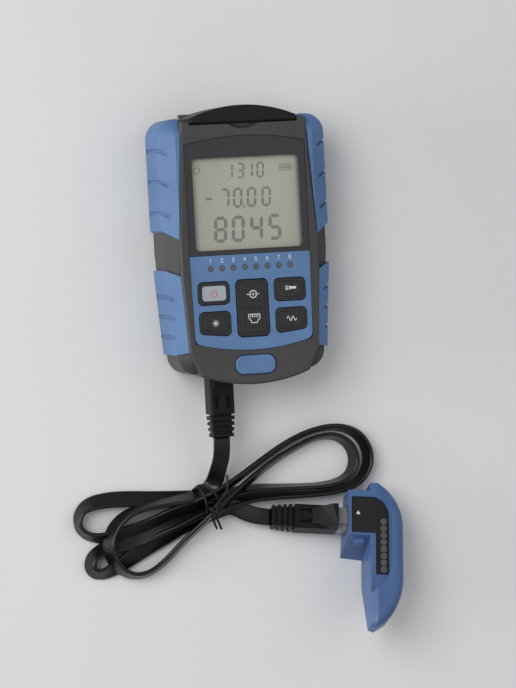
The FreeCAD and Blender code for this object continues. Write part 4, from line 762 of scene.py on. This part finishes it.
def remote_frame():
    """The remote unit's own frame: its roll, pitch and turn, then its place."""
    return (Matrix.Translation(Vector(REMOTE_PLACE) * MM)
            @ Matrix.Rotation(REMOTE_TURN, 4, "Z")
            @ Matrix.Rotation(REMOTE_PITCH, 4, "X")
            @ Matrix.Rotation(REMOTE_ROLL, 4, "Y"))


def remote_marks():
    """Numerals in rings along the remote unit's label, with a pointer to its socket."""
    own = remote_frame()
    back = own.inverted()
    corners = NODES["remote_label"].data.vertices
    level = max((back @ corner.co).z for corner in corners) / MM

    def to(point):
        return own @ (point * MM)

    def pointer(form):
        prism(form, [(-7.4, 22.0), (-5.2, 22.0), (-6.3, 24.0)], level, level + PRINT, to)
    triangle = piece("remote_pointer", mesh_from(pointer), "print_white", CASE,
                     smooth=False)

    def rings(form):
        for count in range(8):
            ring(form, (LABEL_COLUMN, LABEL_FIRST - LABEL_PITCH * count), 1.28, 1.52,
                 level, level + PRINT, to=to, steps=20)
    circles = piece("remote_rings", mesh_from(rings), "print_grey", CASE, smooth=False)
    for count in range(8):
        spot = Vector((LABEL_COLUMN, LABEL_FIRST - LABEL_PITCH * count, level)) * MM
        spin = Matrix.Translation(spot) @ Matrix.Rotation(math.radians(90), 4, "Z")
        numeral(str(8 - count), 1.7, (0, 0), 0, "print_grey",
                f"remote_numeral_{8 - count}", CASE, turn=own @ spin)


# ---------------------------------------------------------------- stage and light

LIT_POINT = (0.0, -0.05, 0.0)
LAMPS = [               # name, place, size and power
    ("key", (-0.85, 0.4, 1.2), 0.9, 13.6),
    ("side", (-1.3, 0.0, 0.22), 0.5, 7.0),
    ("fill", (0.9, 0.0, 1.2), 1.3, 3.6),
]
WORLD_TINT = (0.82, 0.83, 0.85, 1)
WORLD_STRENGTH = 0.38
FLOOR_GAP = 0.0002


def area_light(name, place, size, power):
    """A square lamp that faces the middle of the set."""
    data = bpy.data.lights.new(name, "AREA")
    data.size = size
    data.energy = power
    lamp = bpy.data.objects.new(name, data)
    bpy.context.scene.collection.objects.link(lamp)
    lamp.location = place
    aim = Vector(LIT_POINT) - Vector(place)
    lamp.rotation_euler = aim.to_track_quat("-Z", "Y").to_euler()


def set_stage():
    """A plain pale floor under soft studio light."""
    def build(form):
        bmesh.ops.create_grid(form, x_segments=2, y_segments=2, size=3.0)
    data = mesh_from(build)
    floor = bpy.data.objects.new("floor", data)
    data.materials.append(MATERIALS["floor"])
    bpy.context.scene.collection.objects.link(floor)
    floor.location.z = CAD_BOX[0].z - FLOOR_GAP
    for lamp in LAMPS:
        area_light(*lamp)
    world = bpy.data.worlds.new("studio")
    bpy.context.scene.world = world
    world.use_nodes = True
    back = world.node_tree.nodes["Background"]
    back.inputs["Color"].default_value = WORLD_TINT
    back.inputs["Strength"].default_value = WORLD_STRENGTH
    bpy.context.scene.view_settings.view_transform = "Standard"


# -------------------------------------------------------------------------- scene

aim_camera()
lay_cord()
dress_nodes()
display_figures()
key_marks()
numerals_over_lights()
boot_guards()
remote_marks()
set_stage()
